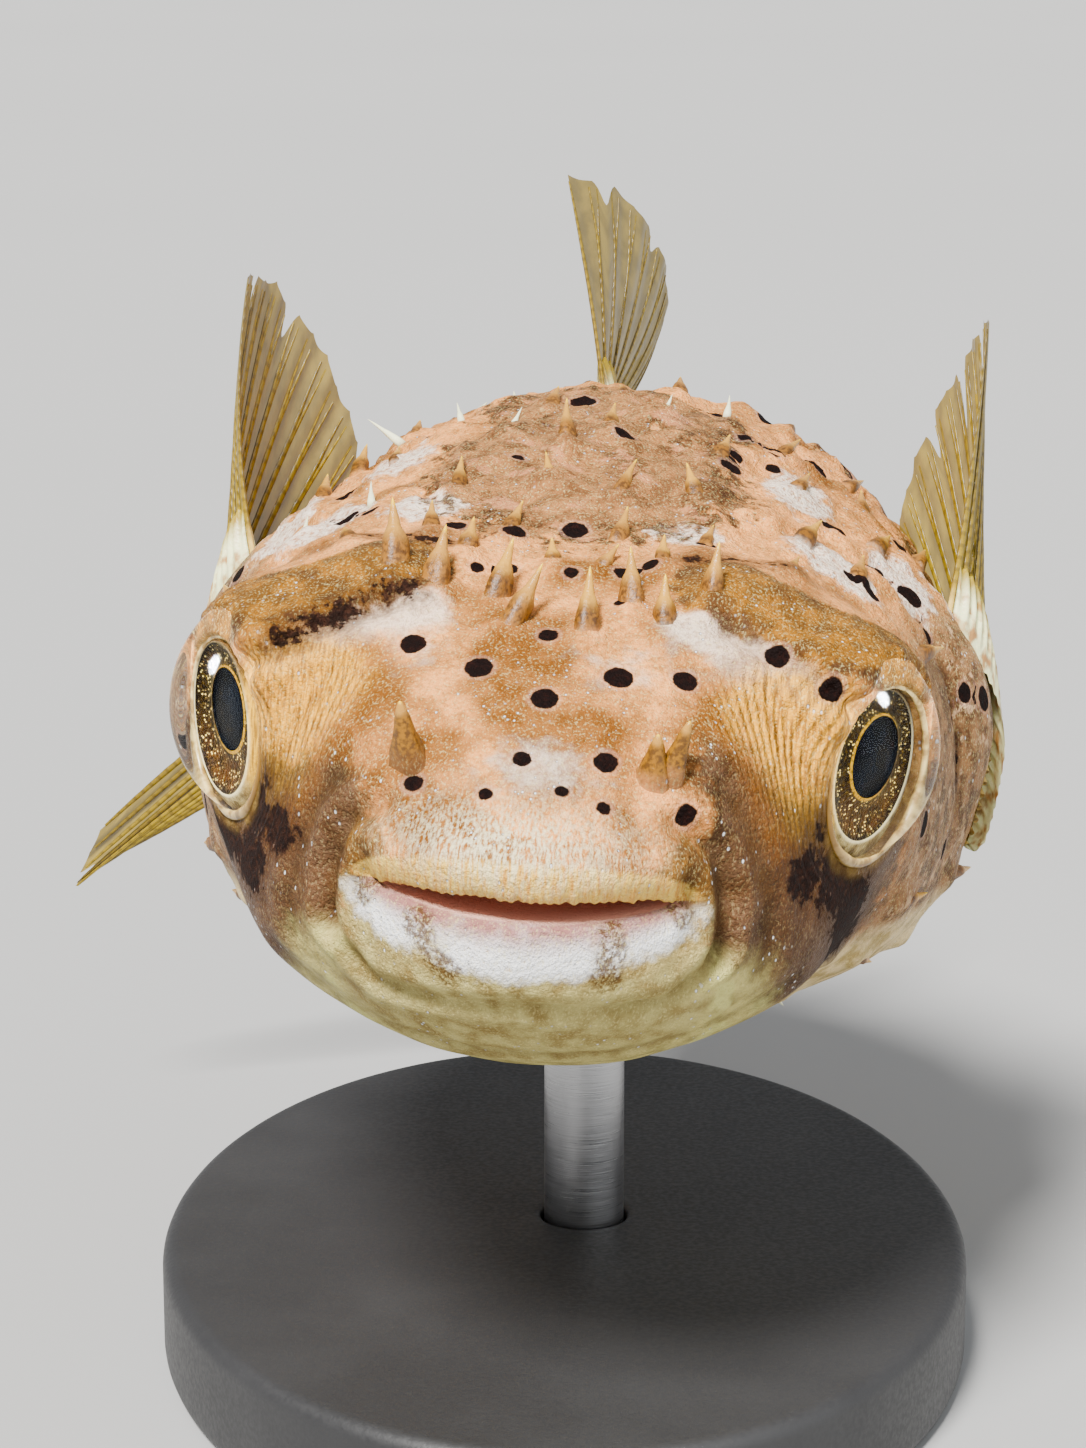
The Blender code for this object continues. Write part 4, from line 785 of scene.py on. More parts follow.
class Shade:
    """A material's nodes, added one by one."""

    def __init__(self, name):
        self.made = bpy.data.materials.new(name)
        self.made.use_nodes = True
        self.tree = self.made.node_tree
        self.tree.nodes.clear()
        self.out = self.tree.nodes.new("ShaderNodeOutputMaterial")

    def set(self, node, key, value):
        socket = node.inputs[key]
        if isinstance(value, bpy.types.NodeSocket):
            self.tree.links.new(value, socket)
        elif value is not None:
            socket.default_value = value

    def node(self, kind, inputs=None, **settings):
        made = self.tree.nodes.new(kind)
        for key, value in settings.items():
            setattr(made, key, value)
        for key, value in (inputs or {}).items():
            self.set(made, key, value)
        return made

    def attribute(self, name, output="Fac"):
        return self.node("ShaderNodeAttribute", attribute_name=name).outputs[output]

    def math(self, operation, a, b=None, c=None, clamp=False):
        made = self.node("ShaderNodeMath", operation=operation, use_clamp=clamp)
        for i, value in enumerate((a, b, c)):
            if value is not None:
                self.set(made, i, value)
        return made.outputs[0]

    def mix(self, amount, a, b, blend="MIX"):
        made = self.node("ShaderNodeMix", data_type="RGBA", blend_type=blend, clamp_factor=True)
        self.set(made, 0, amount)
        self.set(made, 6, a)
        self.set(made, 7, b)
        return made.outputs[2]

    def step(self, value, low, high, to_low=0.0, to_high=1.0):
        made = self.node("ShaderNodeMapRange", interpolation_type="SMOOTHSTEP", clamp=True)
        for key, given in (("Value", value), ("From Min", low), ("From Max", high), ("To Min", to_low), ("To Max", to_high)):
            self.set(made, key, given)
        return made.outputs["Result"]

    def noise(self, where, scale, detail=2.0, rough=0.5, distortion=0.0, output="Fac"):
        made = self.node("ShaderNodeTexNoise", {"Vector": where, "Scale": scale, "Detail": detail, "Roughness": rough, "Distortion": distortion})
        return made.outputs[output]

    def cells(self, where, scale, randomness=1.0, feature="F1", output="Distance"):
        made = self.node("ShaderNodeTexVoronoi", {"Vector": where, "Scale": scale, "Randomness": randomness}, feature=feature)
        return made.outputs[output]

    def stretch(self, where, by):
        return self.node("ShaderNodeMapping", {"Vector": where, "Scale": by}).outputs[0]

    def bump(self, height, distance, strength=1.0, normal=None):
        made = self.node("ShaderNodeBump", {"Height": height, "Distance": distance, "Strength": strength})
        if normal is not None:
            self.set(made, "Normal", normal)
        return made.outputs[0]

    def shader(self, **inputs):
        made = self.node("ShaderNodeBsdfPrincipled")
        for key, value in inputs.items():
            self.set(made, key.replace("_", " "), value)
        self.tree.links.new(made.outputs[0], self.out.inputs["Surface"])
        return made


def skin_colour(s):
    """(colour, roughness, height) sockets of the skin, from the fields that its points carry."""
    at = s.attribute("canon", "Vector")
    broad, mid, fine, grain = s.noise(at, 0.20, 4.0), s.noise(at, 0.60, 4.0), s.noise(at, 2.4, 4.0, 0.65), s.noise(at, 6.0, 3.0, 0.7)
    upright = s.noise(s.stretch(at, (3.0, 0.5, 0.45)), 1.25, 2.0)
    hairs = s.noise(s.stretch(at, (1.0, 1.0, 0.62)), 6.4, 2.0, 0.6)
    wander = s.math("SUBTRACT", s.noise(at, 1.7, 3.0, 0.6), 0.5)
    ragged = s.math("SUBTRACT", s.noise(at, 0.8, 4.0, 0.65), 0.5)

    # pale pinkish ground, clouded with orange-tan
    clouds = s.math("ADD", broad, s.math("MULTIPLY", s.attribute("tan"), 0.30))
    colour = s.mix(s.step(clouds, 0.42, 0.70), tone(246, 214, 182), tone(188, 130, 72))
    colour = s.mix(s.math("MULTIPLY", s.step(mid, 0.44, 0.64), 0.55), colour, tone(220, 176, 130))
    colour = s.mix(s.math("MULTIPLY", s.step(s.math("ADD", s.attribute("bright"), ragged), 0.26, 0.86), 0.80), colour, (0.92, 0.75, 0.59, 1))
    colour = s.mix(s.math("MULTIPLY", s.step(fine, 0.44, 0.66), 0.44), colour, tone(202, 146, 92))

    # the flanks greyer, mottled with brown and white
    side = s.mix(s.step(mid, 0.42, 0.60), tone(206, 172, 138), tone(146, 108, 78))
    side = s.mix(s.math("MULTIPLY", s.step(ragged, 0.05, 0.16), 0.8), side, tone(236, 222, 206))
    colour = s.mix(s.math("MULTIPLY", s.attribute("flank"), 0.92), colour, side)

    # the cheeks much darker and browner: partly their own brown, partly painted shade on the sides below the eyes and
    # the lower sides of the head
    cheek = s.step(s.math("ADD", s.attribute("cheek"), s.math("MULTIPLY", ragged, 1.3)), 0.15, 0.70)
    brown = s.mix(s.step(mid, 0.38, 0.64), tone(94, 66, 46), tone(150, 120, 98))
    brown = s.mix(s.math("MULTIPLY", s.step(fine, 0.46, 0.66), 0.50), brown, tone(80, 53, 36))
    brown = s.mix(s.math("MULTIPLY", s.step(hairs, 0.54, 0.78), 0.36), brown, tone(200, 174, 150))
    colour = s.mix(s.math("MULTIPLY", cheek, 0.92), colour, brown)

    # cream before the eyes, with fine upright streaks and an orange-brown border
    cream = s.math("ADD", s.attribute("cream"), s.math("MULTIPLY", ragged, 0.5))
    colour = s.mix(s.math("MULTIPLY", s.math("MULTIPLY", s.step(cream, 0.02, 0.36), s.step(cream, 0.90, 0.42)), 0.58), colour, tone(190, 130, 68))
    streak = s.noise(s.stretch(at, (3.0, 0.5, 0.30)), 1.9, 2.0)
    creamy = s.mix(s.step(streak, 0.34, 0.68), tone(248, 218, 168), tone(216, 172, 112))
    creamy = s.mix(s.math("MULTIPLY", s.step(fine, 0.46, 0.68), 0.34), creamy, tone(200, 148, 82))
    creamy = s.mix(s.step(s.math("ADD", s.attribute("cheek"), ragged), 0.05, 0.75, 0.0, 0.75), creamy, tone(150, 118, 62))
    colour = s.mix(s.step(cream, 0.22, 0.96, 0.0, 0.93), colour, creamy)

    # belly and chin
    belly = s.step(s.math("ADD", s.attribute("belly"), s.math("MULTIPLY", ragged, 0.6)), 0.15, 0.85)
    colour = s.mix(belly, colour, s.mix(s.step(mid, 0.4, 0.65), tone(238, 230, 214), tone(222, 206, 172)))
    chin = s.step(s.math("ADD", s.attribute("chin"), s.math("MULTIPLY", ragged, 0.7)), 0.08, 0.80)
    green = s.mix(s.step(mid, 0.32, 0.72), tone(230, 223, 194), tone(206, 194, 154))
    green = s.mix(s.math("MULTIPLY", s.step(s.noise(at, 0.34, 2.0), 0.50, 0.64), 0.8), green, tone(232, 228, 200))
    green = s.mix(s.math("MULTIPLY", s.step(fine, 0.48, 0.72), 0.18), green, tone(182, 160, 112))
    colour = s.mix(chin, colour, green)

    # pinkish-white patches beside the nape
    pale = s.step(s.math("ADD", s.attribute("pale"), s.math("MULTIPLY", ragged, 1.1)), 0.36, 0.64)
    colour = s.mix(s.math("MULTIPLY", pale, 0.92), colour, s.mix(s.step(fine, 0.42, 0.7), (0.92, 0.79, 0.66, 1), tone(224, 184, 156)))

    # brown saddles with a darker, scalloped edge
    gap = s.math("ADD", s.attribute("saddle"), s.math("MULTIPLY", ragged, 6.0))
    inside = s.step(gap, 0.45, -0.35)
    rim = s.math("MULTIPLY", s.step(gap, 0.7, 0.1), s.step(gap, -0.9, -0.2))
    back = s.mix(s.step(mid, 0.38, 0.62), tone(216, 176, 138), tone(186, 140, 102))
    back = s.mix(s.math("MULTIPLY", s.step(fine, 0.46, 0.66), 0.42), back, tone(152, 106, 70))
    back = s.mix(s.math("MULTIPLY", s.step(s.noise(at, 0.26, 4.0, 0.7), 0.53, 0.60), 0.72), back, tone(112, 70, 46))
    back = s.mix(s.math("MULTIPLY", s.step(s.noise(at, 0.34, 4.0, 0.7), 0.54, 0.64), 0.55), back, tone(238, 204, 180))
    colour = s.mix(s.math("MULTIPLY", inside, 0.92), colour, back)
    colour = s.mix(s.math("MULTIPLY", rim, s.step(mid, 0.36, 0.55, 0.15, 0.85)), colour, tone(98, 58, 36))

    # ochre brows, mottled with brown, mauve-brown along their top
    gap = s.math("ADD", s.attribute("brow"), s.math("MULTIPLY", ragged, 2.2))
    brow = s.step(gap, 0.40, -0.30)
    ochre = s.mix(s.step(mid, 0.36, 0.62), tone(212, 164, 90), tone(174, 126, 64))
    ochre = s.mix(s.math("MULTIPLY", s.step(fine, 0.44, 0.66), 0.40), ochre, tone(150, 98, 50))
    ochre = s.mix(s.math("MULTIPLY", s.step(s.noise(at, 0.36, 3.0, 0.6), 0.50, 0.62), 0.70), ochre, tone(112, 72, 44))
    ochre = s.mix(s.math("MULTIPLY", s.math("MULTIPLY", s.step(gap, -1.6, -0.3), s.step(mid, 0.36, 0.56)), 0.75), ochre, tone(118, 80, 56))
    colour = s.mix(s.math("MULTIPLY", brow, 0.95), colour, ochre)

    # lips: an olive-cream pad, a paler edge above, bluish white below
    colour = s.mix(s.math("MULTIPLY", s.step(s.math("ADD", s.attribute("pad"), s.math("MULTIPLY", ragged, 0.8)), 0.35, 0.8), 0.9), colour, s.mix(s.attribute("corner"), s.mix(s.step(mid, 0.34, 0.70), tone(224, 216, 186), tone(200, 180, 136)), s.mix(s.step(mid, 0.38, 0.64), tone(196, 152, 94), tone(146, 98, 48))))
    pleats = s.noise(s.stretch(at, (3.0, 0.4, 0.30)), 1.7, 2.0)
    lip = s.mix(s.step(pleats, 0.20, 0.66), tone(236, 194, 146), tone(255, 230, 200))
    colour = s.mix(s.math("MULTIPLY", s.step(s.math("ADD", s.attribute("lip_top"), s.math("MULTIPLY", ragged, 0.4)), 0.25, 0.75), 0.92), colour, lip)
    muzzle = s.math("MULTIPLY", s.attribute("muzzle"), s.step(s.math("ADD", s.math("MULTIPLY", s.noise(s.stretch(at, (2.2, 1.0, 0.34)), 2.6, 2.0), 0.8), s.math("MULTIPLY", hairs, 0.3)), 0.42, 0.66))
    colour = s.mix(s.math("MULTIPLY", muzzle, 0.80), colour, tone(255, 238, 230))
    white = s.math("ADD", s.attribute("lip_low"), s.math("MULTIPLY", ragged, 1.3))
    low = s.mix(s.step(fine, 0.56, 0.84), tone(255, 255, 255), tone(232, 218, 196))
    colour = s.mix(s.math("MULTIPLY", s.step(white, 0.26, 0.86), s.step(s.attribute("corner"), 0.10, 0.85, 0.98, 0.30)), colour, low)
    pinkish = s.math("MULTIPLY", s.attribute("inlip"), s.step(mid, 0.30, 0.60, 0.7, 1.0))
    colour = s.mix(pinkish, colour, tone(214, 178, 172))
    smudge = s.math("ADD", s.attribute("smudge"), s.math("MULTIPLY", ragged, 1.4))
    smudge = s.math("MULTIPLY", s.step(smudge, 0.45, 0.95), s.step(s.math("ADD", s.math("MULTIPLY", fine, 0.7), s.math("MULTIPLY", grain, 0.3)), 0.36, 0.56))
    colour = s.mix(s.math("MULTIPLY", smudge, 0.88), colour, tone(150, 104, 50))

    # fine grain: pale and orange flecks drawn out downwards
    colour = s.mix(s.math("MULTIPLY", s.step(hairs, 0.50, 0.72), s.step(s.attribute("cheek"), 0.2, 0.9, 0.38, 0.12)), colour, tone(255, 236, 220))
    colour = s.mix(s.math("MULTIPLY", s.step(grain, 0.48, 0.70), s.step(s.math("MAXIMUM", s.attribute("chin"), s.attribute("pad")), 0.2, 0.8, 0.26, 0.10)), colour, tone(176, 114, 64))
    # painted shade: brown laid along the grooves, where the folds' shade falls
    colour = s.mix(s.math("MULTIPLY", s.attribute("groove_shade"), 0.40), colour, tone(128, 94, 54))
    # sparse white flecks: partly pale flecks of the skin, partly painted glints of a wet skin
    sparse = s.step(s.noise(at, 0.42, 3.0), 0.52, 0.64)
    fleck_and_glint = s.math("MULTIPLY", s.step(s.cells(s.stretch(at, (1.0, 1.0, 0.6)), 1.9), 0.21, 0.12), sparse)
    colour = s.mix(s.math("MULTIPLY", fleck_and_glint, 0.9), colour, tone(255, 252, 246))

    # dark maroon marks with a ragged edge and a brown halo, and the painted shadow under the fish's right brow drawn
    # the same way
    dark = s.math("ADD", s.attribute("dark"), s.math("MULTIPLY", wander, 2.4))
    dark = s.math("ADD", dark, s.math("MULTIPLY", ragged, 2.6))
    soft = s.math("MULTIPLY", s.step(dark, 1.8, 0.1), 0.62)
    colour = s.mix(soft, colour, tone(122, 78, 46))
    solid = s.step(dark, 0.25, -0.25)
    maroon = s.mix(s.step(fine, 0.42, 0.70), (0.0060, 0.0016, 0.0010, 1), (0.034, 0.0125, 0.0070, 1))
    # the same flecks, fainter, on the marks: pale flecks and painted glints
    maroon = s.mix(s.math("MULTIPLY", fleck_and_glint, 0.5), maroon, tone(200, 170, 150))
    colour = s.mix(s.math("MULTIPLY", solid, 0.97), colour, maroon)

    # round spots, near black, each in a faint pale ring
    off = s.node("ShaderNodeVectorMath", {0: at, 1: s.attribute("spot_at", "Vector")}, operation="DISTANCE").outputs["Value"]
    spot = s.math("MAXIMUM", s.math("SUBTRACT", off, s.attribute("spot_r")), s.math("SUBTRACT", s.attribute("spot"), 0.5))
    spot = s.math("ADD", spot, s.math("MULTIPLY", wander, 0.36))
    ring = s.math("MULTIPLY", s.step(spot, 0.40, 0.10), 0.12)
    colour = s.mix(ring, colour, tone(240, 224, 220))
    colour = s.mix(s.step(spot, 0.07, -0.07), colour, s.mix(s.step(fine, 0.44, 0.80), (0.0040, 0.0011, 0.0008, 1), (0.020, 0.005, 0.003, 1)))

    # inside of the mouth, and the pale rim of the eye
    inner = s.mix(s.attribute("deep"), (0.90, 0.50, 0.38, 1), (0.95, 0.46, 0.32, 1))
    colour = s.mix(s.step(s.attribute("mouth"), 0.15, 0.75), colour, inner)
    colour = s.mix(s.math("MULTIPLY", s.attribute("rim"), 0.75), colour, s.mix(s.step(mid, 0.4, 0.6), tone(206, 180, 132), tone(172, 136, 84)))

    rough = s.step(s.math("SUBTRACT", fine, s.math("MULTIPLY", s.attribute("mouth"), 0.8)), 0.2, 0.7, 0.24, 0.44)
    rough = s.math("ADD", rough, s.math("MULTIPLY", s.math("MAXIMUM", solid, s.step(spot, 0.07, -0.07)), 0.34))
    # small relief: grain everywhere, creases beside the eye, pleats on the lip
    crease = s.node("ShaderNodeTexWave", {"Vector": s.node("ShaderNodeCombineXYZ", {"X": s.attribute("eye_r")}).outputs[0], "Scale": 0.62, "Distortion": 0.0}).outputs["Fac"]
    tall = s.math("MULTIPLY", crease, s.math("MULTIPLY", s.attribute("cream"), 0.9))
    tall = s.math("ADD", tall, s.math("MULTIPLY", fine, 1.3))
    tall = s.math("ADD", tall, s.math("MULTIPLY", hairs, 0.8))
    tall = s.math("ADD", tall, s.math("MULTIPLY", s.math("MULTIPLY", upright, s.attribute("lip_top")), 0.5))
    tall = s.math("ADD", tall, s.math("MULTIPLY", fleck_and_glint, 0.8))
    return colour, rough, tall


def skin_material():
    s = Shade("porcupinefish_skin")
    colour, rough, tall = skin_colour(s)
    s.shader(Base_Color=colour, Roughness=rough, Normal=s.bump(tall, 0.00024, 1.0), Specular_IOR_Level=0.08)
    return s.made


def spine_material():
    s = Shade("porcupinefish_spines")
    colour, rough, tall = skin_colour(s)
    up, own, bony = s.attribute("up"), s.attribute("own"), s.attribute("bony")
    at = s.attribute("canon", "Vector")
    fine = s.noise(at, 3.0, 2.0)
    sheath = s.mix(s.step(fine, 0.40, 0.62), s.mix(own, tone(184, 132, 68), tone(208, 162, 104)), s.mix(own, tone(130, 84, 37), tone(162, 112, 58)))
    sheath = s.mix(s.attribute("nasal"), sheath, s.mix(s.step(fine, 0.38, 0.64), tone(206, 160, 88), tone(160, 112, 52)))
    colour = s.mix(s.step(up, s.math("MULTIPLY_ADD", s.attribute("nasal"), -0.03, 0.04), s.math("MULTIPLY_ADD", s.attribute("nasal"), -0.12, 0.26)), colour, sheath)
    bare = s.step(s.math("ADD", up, s.math("MULTIPLY", fine, 0.22)), 0.46, 0.72)
    amber = s.mix(own, (0.60, 0.30, 0.030, 1), (0.44, 0.21, 0.035, 1))
    # painted shadow: each sheath darker brown at its foot, more on some spines than others
    colour = s.mix(s.math("MULTIPLY", s.step(up, 0.16, 0.02), s.step(own, 0.2, 0.8, 0.1, 0.5)), colour, tone(112, 72, 40))
    colour = s.mix(bare, colour, amber)
    colour = s.mix(s.step(up, 0.84, 0.97), colour, tone(254, 228, 160))
    colour = s.mix(s.math("MULTIPLY", bony, s.step(up, 0.10, 0.34)), colour, tone(252, 244, 232))
    s.shader(Base_Color=colour, Roughness=s.step(up, 0.45, 0.7, 0.40, 0.22), Normal=s.bump(tall, 0.00006, 0.8), Specular_IOR_Level=0.4)
    return s.made


def ray_material():
    s = Shade("fin_rays")
    at, own, side = s.attribute("along_ray"), s.attribute("own"), s.attribute("flank")
    joint = s.node("ShaderNodeTexWave", {"Vector": s.node("ShaderNodeCombineXYZ", {"X": at}).outputs[0], "Scale": 7.0}).outputs["Fac"]
    cloudy = s.noise(s.attribute("canon", "Vector"), 0.9, 3.0)
    colour = s.mix(s.step(at, 0.0, 0.9), tone(204, 178, 94), tone(180, 154, 64))
    colour = s.mix(s.math("MULTIPLY", s.step(cloudy, 0.44, 0.62), 0.6), colour, tone(160, 132, 50))
    colour = s.mix(s.math("MULTIPLY", own, 0.45), colour, tone(226, 208, 136))
    colour = s.mix(s.math("MULTIPLY", s.step(joint, 0.60, 0.95), 0.45), colour, tone(124, 92, 34))
    colour = s.mix(s.math("MULTIPLY", s.step(side, 0.72, 0.96), 0.75), colour, tone(112, 82, 30))
    colour = s.mix(s.step(at, 0.13, 0.0), colour, tone(236, 222, 186))
    s.shader(Base_Color=colour, Roughness=0.32, Normal=s.bump(joint, 0.00004, 0.7), Subsurface_Weight=0.15, Subsurface_Radius=(1.0, 0.8, 0.3), Subsurface_Scale=0.0006)
    return s.made


def web_material():
    s = Shade("fin_web")
    at = s.attribute("canon", "Vector")
    cloudy = s.noise(at, 0.5, 3.0)
    colour = s.mix(s.step(cloudy, 0.35, 0.65), (0.25, 0.175, 0.020, 1), (0.16, 0.110, 0.011, 1))
    s.shader(Base_Color=colour, Roughness=0.28, Specular_IOR_Level=0.2, Alpha=0.92, Normal=s.bump(s.noise(at, 3.0, 2.0), 0.00002, 0.6))
    return s.made


def root_material():
    s = Shade("fin_root")
    at = s.attribute("canon", "Vector")
    mottle = s.noise(at, 0.7, 3.0)
    colour = s.mix(s.step(mottle, 0.44, 0.66), tone(246, 238, 226), tone(222, 190, 150))
    colour = s.mix(s.step(s.attribute("along_ray"), 0.05, 0.17), colour, tone(210, 188, 108))
    s.shader(Base_Color=colour, Roughness=0.40, Normal=s.bump(s.noise(at, 3.0, 3.0), 0.00008, 0.8), Subsurface_Weight=0.15, Subsurface_Radius=(1.0, 0.5, 0.3), Subsurface_Scale=0.001)
    return s.made


def iris_material():
    """Pupil, gold ring, dark bronze iris with bright grains, and the pale tissue round it."""
    s = Shade("eye_iris")
    r = s.attribute("iris_r")            # 0 at the pupil's edge, 1 at the iris's edge, below 0 in the pupil
    low = s.attribute("iris_low")        # 1 at the bottom of the iris
    at = s.attribute("canon", "Vector")
    grain, grit = s.noise(at, 4.5, 3.0, 0.7), s.cells(at, 4.2)
    bands = s.noise(at, 1.2, 4.0, 0.6)
    colour = s.mix(s.step(bands, 0.38, 0.62), tone(26, 15, 7), tone(66, 45, 16))
    colour = s.mix(s.math("MULTIPLY", low, s.step(bands, 0.40, 0.58, 0.15, 0.8)), colour, tone(126, 72, 18))
    colour = s.mix(s.math("MULTIPLY", s.step(grain, 0.50, 0.62), 0.50), colour, tone(146, 108, 38))
    bright = s.math("MULTIPLY", s.step(grit, 0.34, 0.20), s.step(s.noise(at, 1.3, 2.0), 0.40, 0.54))
    colour = s.mix(s.math("MULTIPLY", bright, 0.95), colour, (0.80, 0.58, 0.16, 1))
    colour = s.mix(s.math("MULTIPLY", s.step(r, 0.82, 0.98), 0.75), colour, tone(30, 17, 8))
    ring = s.math("MULTIPLY", s.step(r, -0.02, 0.01), s.step(r, 0.10, 0.06))
    ring = s.math("MULTIPLY", ring, s.step(grain, 0.36, 0.56, 0.25, 1.0))
    colour = s.mix(ring, colour, tone(222, 190, 112))
    pupil = s.step(r, 0.005, -0.02)
    # the pupil near black, its faint blue a painted reflection
    blue = s.mix(s.step(s.noise(at, 0.7, 2.0), 0.46, 0.66), (0.0006, 0.0008, 0.0013, 1), (0.0012, 0.0019, 0.0034, 1))
    colour = s.mix(pupil, colour, blue)
    # tissue round the iris: cream skin on the side of the nose, pale below, brown above as painted shadow of the brow,
    # grey behind
    outer = s.step(r, 1.02, 1.06)
    fore, above = s.attribute("fore"), s.attribute("above")
    streak = s.noise(s.stretch(at, (3.0, 0.5, 0.30)), 1.9, 2.0)
    round_it = s.mix(s.step(fore, -0.35, 0.35), s.mix(s.step(bands, 0.40, 0.60), tone(140, 124, 106), tone(104, 86, 68)), s.mix(s.step(streak, 0.36, 0.66), tone(226, 196, 134), tone(190, 148, 84)))
    round_it = s.mix(s.step(above, -0.35, -0.85), round_it, s.mix(s.step(bands, 0.4, 0.6), tone(198, 182, 146), tone(158, 132, 90)))
    # painted shadow of the brow: the tissue brown above
    round_it = s.mix(s.step(above, 0.45, 0.85), round_it, tone(132, 94, 48))
    colour = s.mix(outer, colour, round_it)
    line = s.math("MULTIPLY", s.math("MULTIPLY", s.step(r, 1.00, 1.03), s.step(r, 1.22, 1.14)), s.step(above, 0.70, 0.20, 0.15, 0.55))
    colour = s.mix(line, colour, tone(232, 226, 210))
    open_part = s.math("MULTIPLY", s.math("SUBTRACT", 1.0, pupil), s.math("SUBTRACT", 1.0, outer))
    metal = s.math("MULTIPLY", open_part, s.math("SUBTRACT", 0.30, s.math("MULTIPLY", bright, 0.28)))
    rough = s.math("ADD", 0.34, s.math("MULTIPLY", pupil, -0.26))
    s.shader(Base_Color=colour, Roughness=rough, Metallic=metal, Specular_IOR_Level=0.02, Normal=s.bump(s.math("ADD", grain, grit), 0.00007, 0.7))
    return s.made


def cornea_material():
    s = Shade("eye_cornea")
    s.shader(Base_Color=(0.90, 0.95, 1.0, 1.0), Roughness=0.0, IOR=1.03, Transmission_Weight=1.0, Coat_Weight=0.25, Coat_Roughness=0.02, Coat_IOR=1.34, Specular_IOR_Level=0.0,
             Normal=s.bump(s.noise(s.attribute("canon", "Vector"), 0.5, 1.0), 0.00001, 0.15))
    return s.made


def rim_material():
    s = Shade("eye_rim")
    at = s.attribute("canon", "Vector")
    colour = s.mix(s.step(s.noise(at, 1.1, 3.0), 0.38, 0.64), tone(222, 206, 172), tone(190, 160, 108))
    colour = s.mix(s.attribute("front"), colour, tone(196, 160, 96))
    s.shader(Base_Color=colour, Roughness=0.22, Subsurface_Weight=0.3, Subsurface_Radius=(1.0, 0.7, 0.5), Subsurface_Scale=0.0010, 
             Normal=s.bump(s.noise(at, 3.0, 2.0), 0.00003, 0.6))
    return s.made


def stand_material():
    s = Shade("stand_charcoal")
    at = s.node("ShaderNodeTexCoord").outputs["Object"]
    grain = s.noise(at, 2400.0, 3.0, 0.6)
    patch = s.noise(at, 60.0, 3.0)
    colour = s.mix(s.step(patch, 0.35, 0.65), (0.015, 0.015, 0.016, 1), (0.021, 0.021, 0.022, 1))
    s.shader(Base_Color=colour, Roughness=s.step(grain, 0.3, 0.7, 0.46, 0.60), Normal=s.bump(grain, 0.00004, 0.7))
    return s.made


def rod_material():
    s = Shade("rod_steel")
    at = s.node("ShaderNodeTexCoord").outputs["Object"]
    lines = s.noise(s.stretch(at, (1.0, 1.0, 60.0)), 240.0, 3.0, 0.6)
    s.shader(Base_Color=s.mix(s.step(lines, 0.3, 0.7), (0.40, 0.40, 0.41, 1), (0.52, 0.52, 0.53, 1)), Metallic=1.0, Roughness=s.step(lines, 0.25, 0.75, 0.26, 0.40),
             Normal=s.bump(lines, 0.00002, 0.6))
    return s.made


# ---------------------------------------------------------------- skin
RINGS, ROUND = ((300, 328))


def even_places():
    """Ring places and angles that put the skin's points about evenly, closer together on the head."""
    a = np.linspace(0, STATION_AT[-1], 900)
    u = np.linspace(0, 2 * math.pi, 145)
    p = skin_points(a[:, None], u[None, :])
    run = np.percentile(np.linalg.norm(np.diff(p, axis=0), axis=-1), 88, axis=1)
    y = p[:-1, :, 1].mean(axis=1)
    run = run * np.where(y < 36, 1.0, np.where(y < 60, 0.5, 0.38)) + 1e-4
    total = np.concatenate([[0], np.cumsum(run)])
    along = np.interp(np.linspace(0, total[-1], RINGS), total, a)
    rows = (a > along_of("muzzle")) & (a < along_of("nape"))
    across = np.percentile(np.linalg.norm(np.diff(p[rows], axis=1), axis=-1), 75, axis=0)
    across = across + 0.35 * across.mean()
    across = (across + across[::-1][np.roll(np.arange(144), 72)]) / 2 if False else across
    total = np.concatenate([[0], np.cumsum(across)])
    around = np.interp(np.linspace(0, total[-1], ROUND + 1)[:-1], total, u)
    return along, around


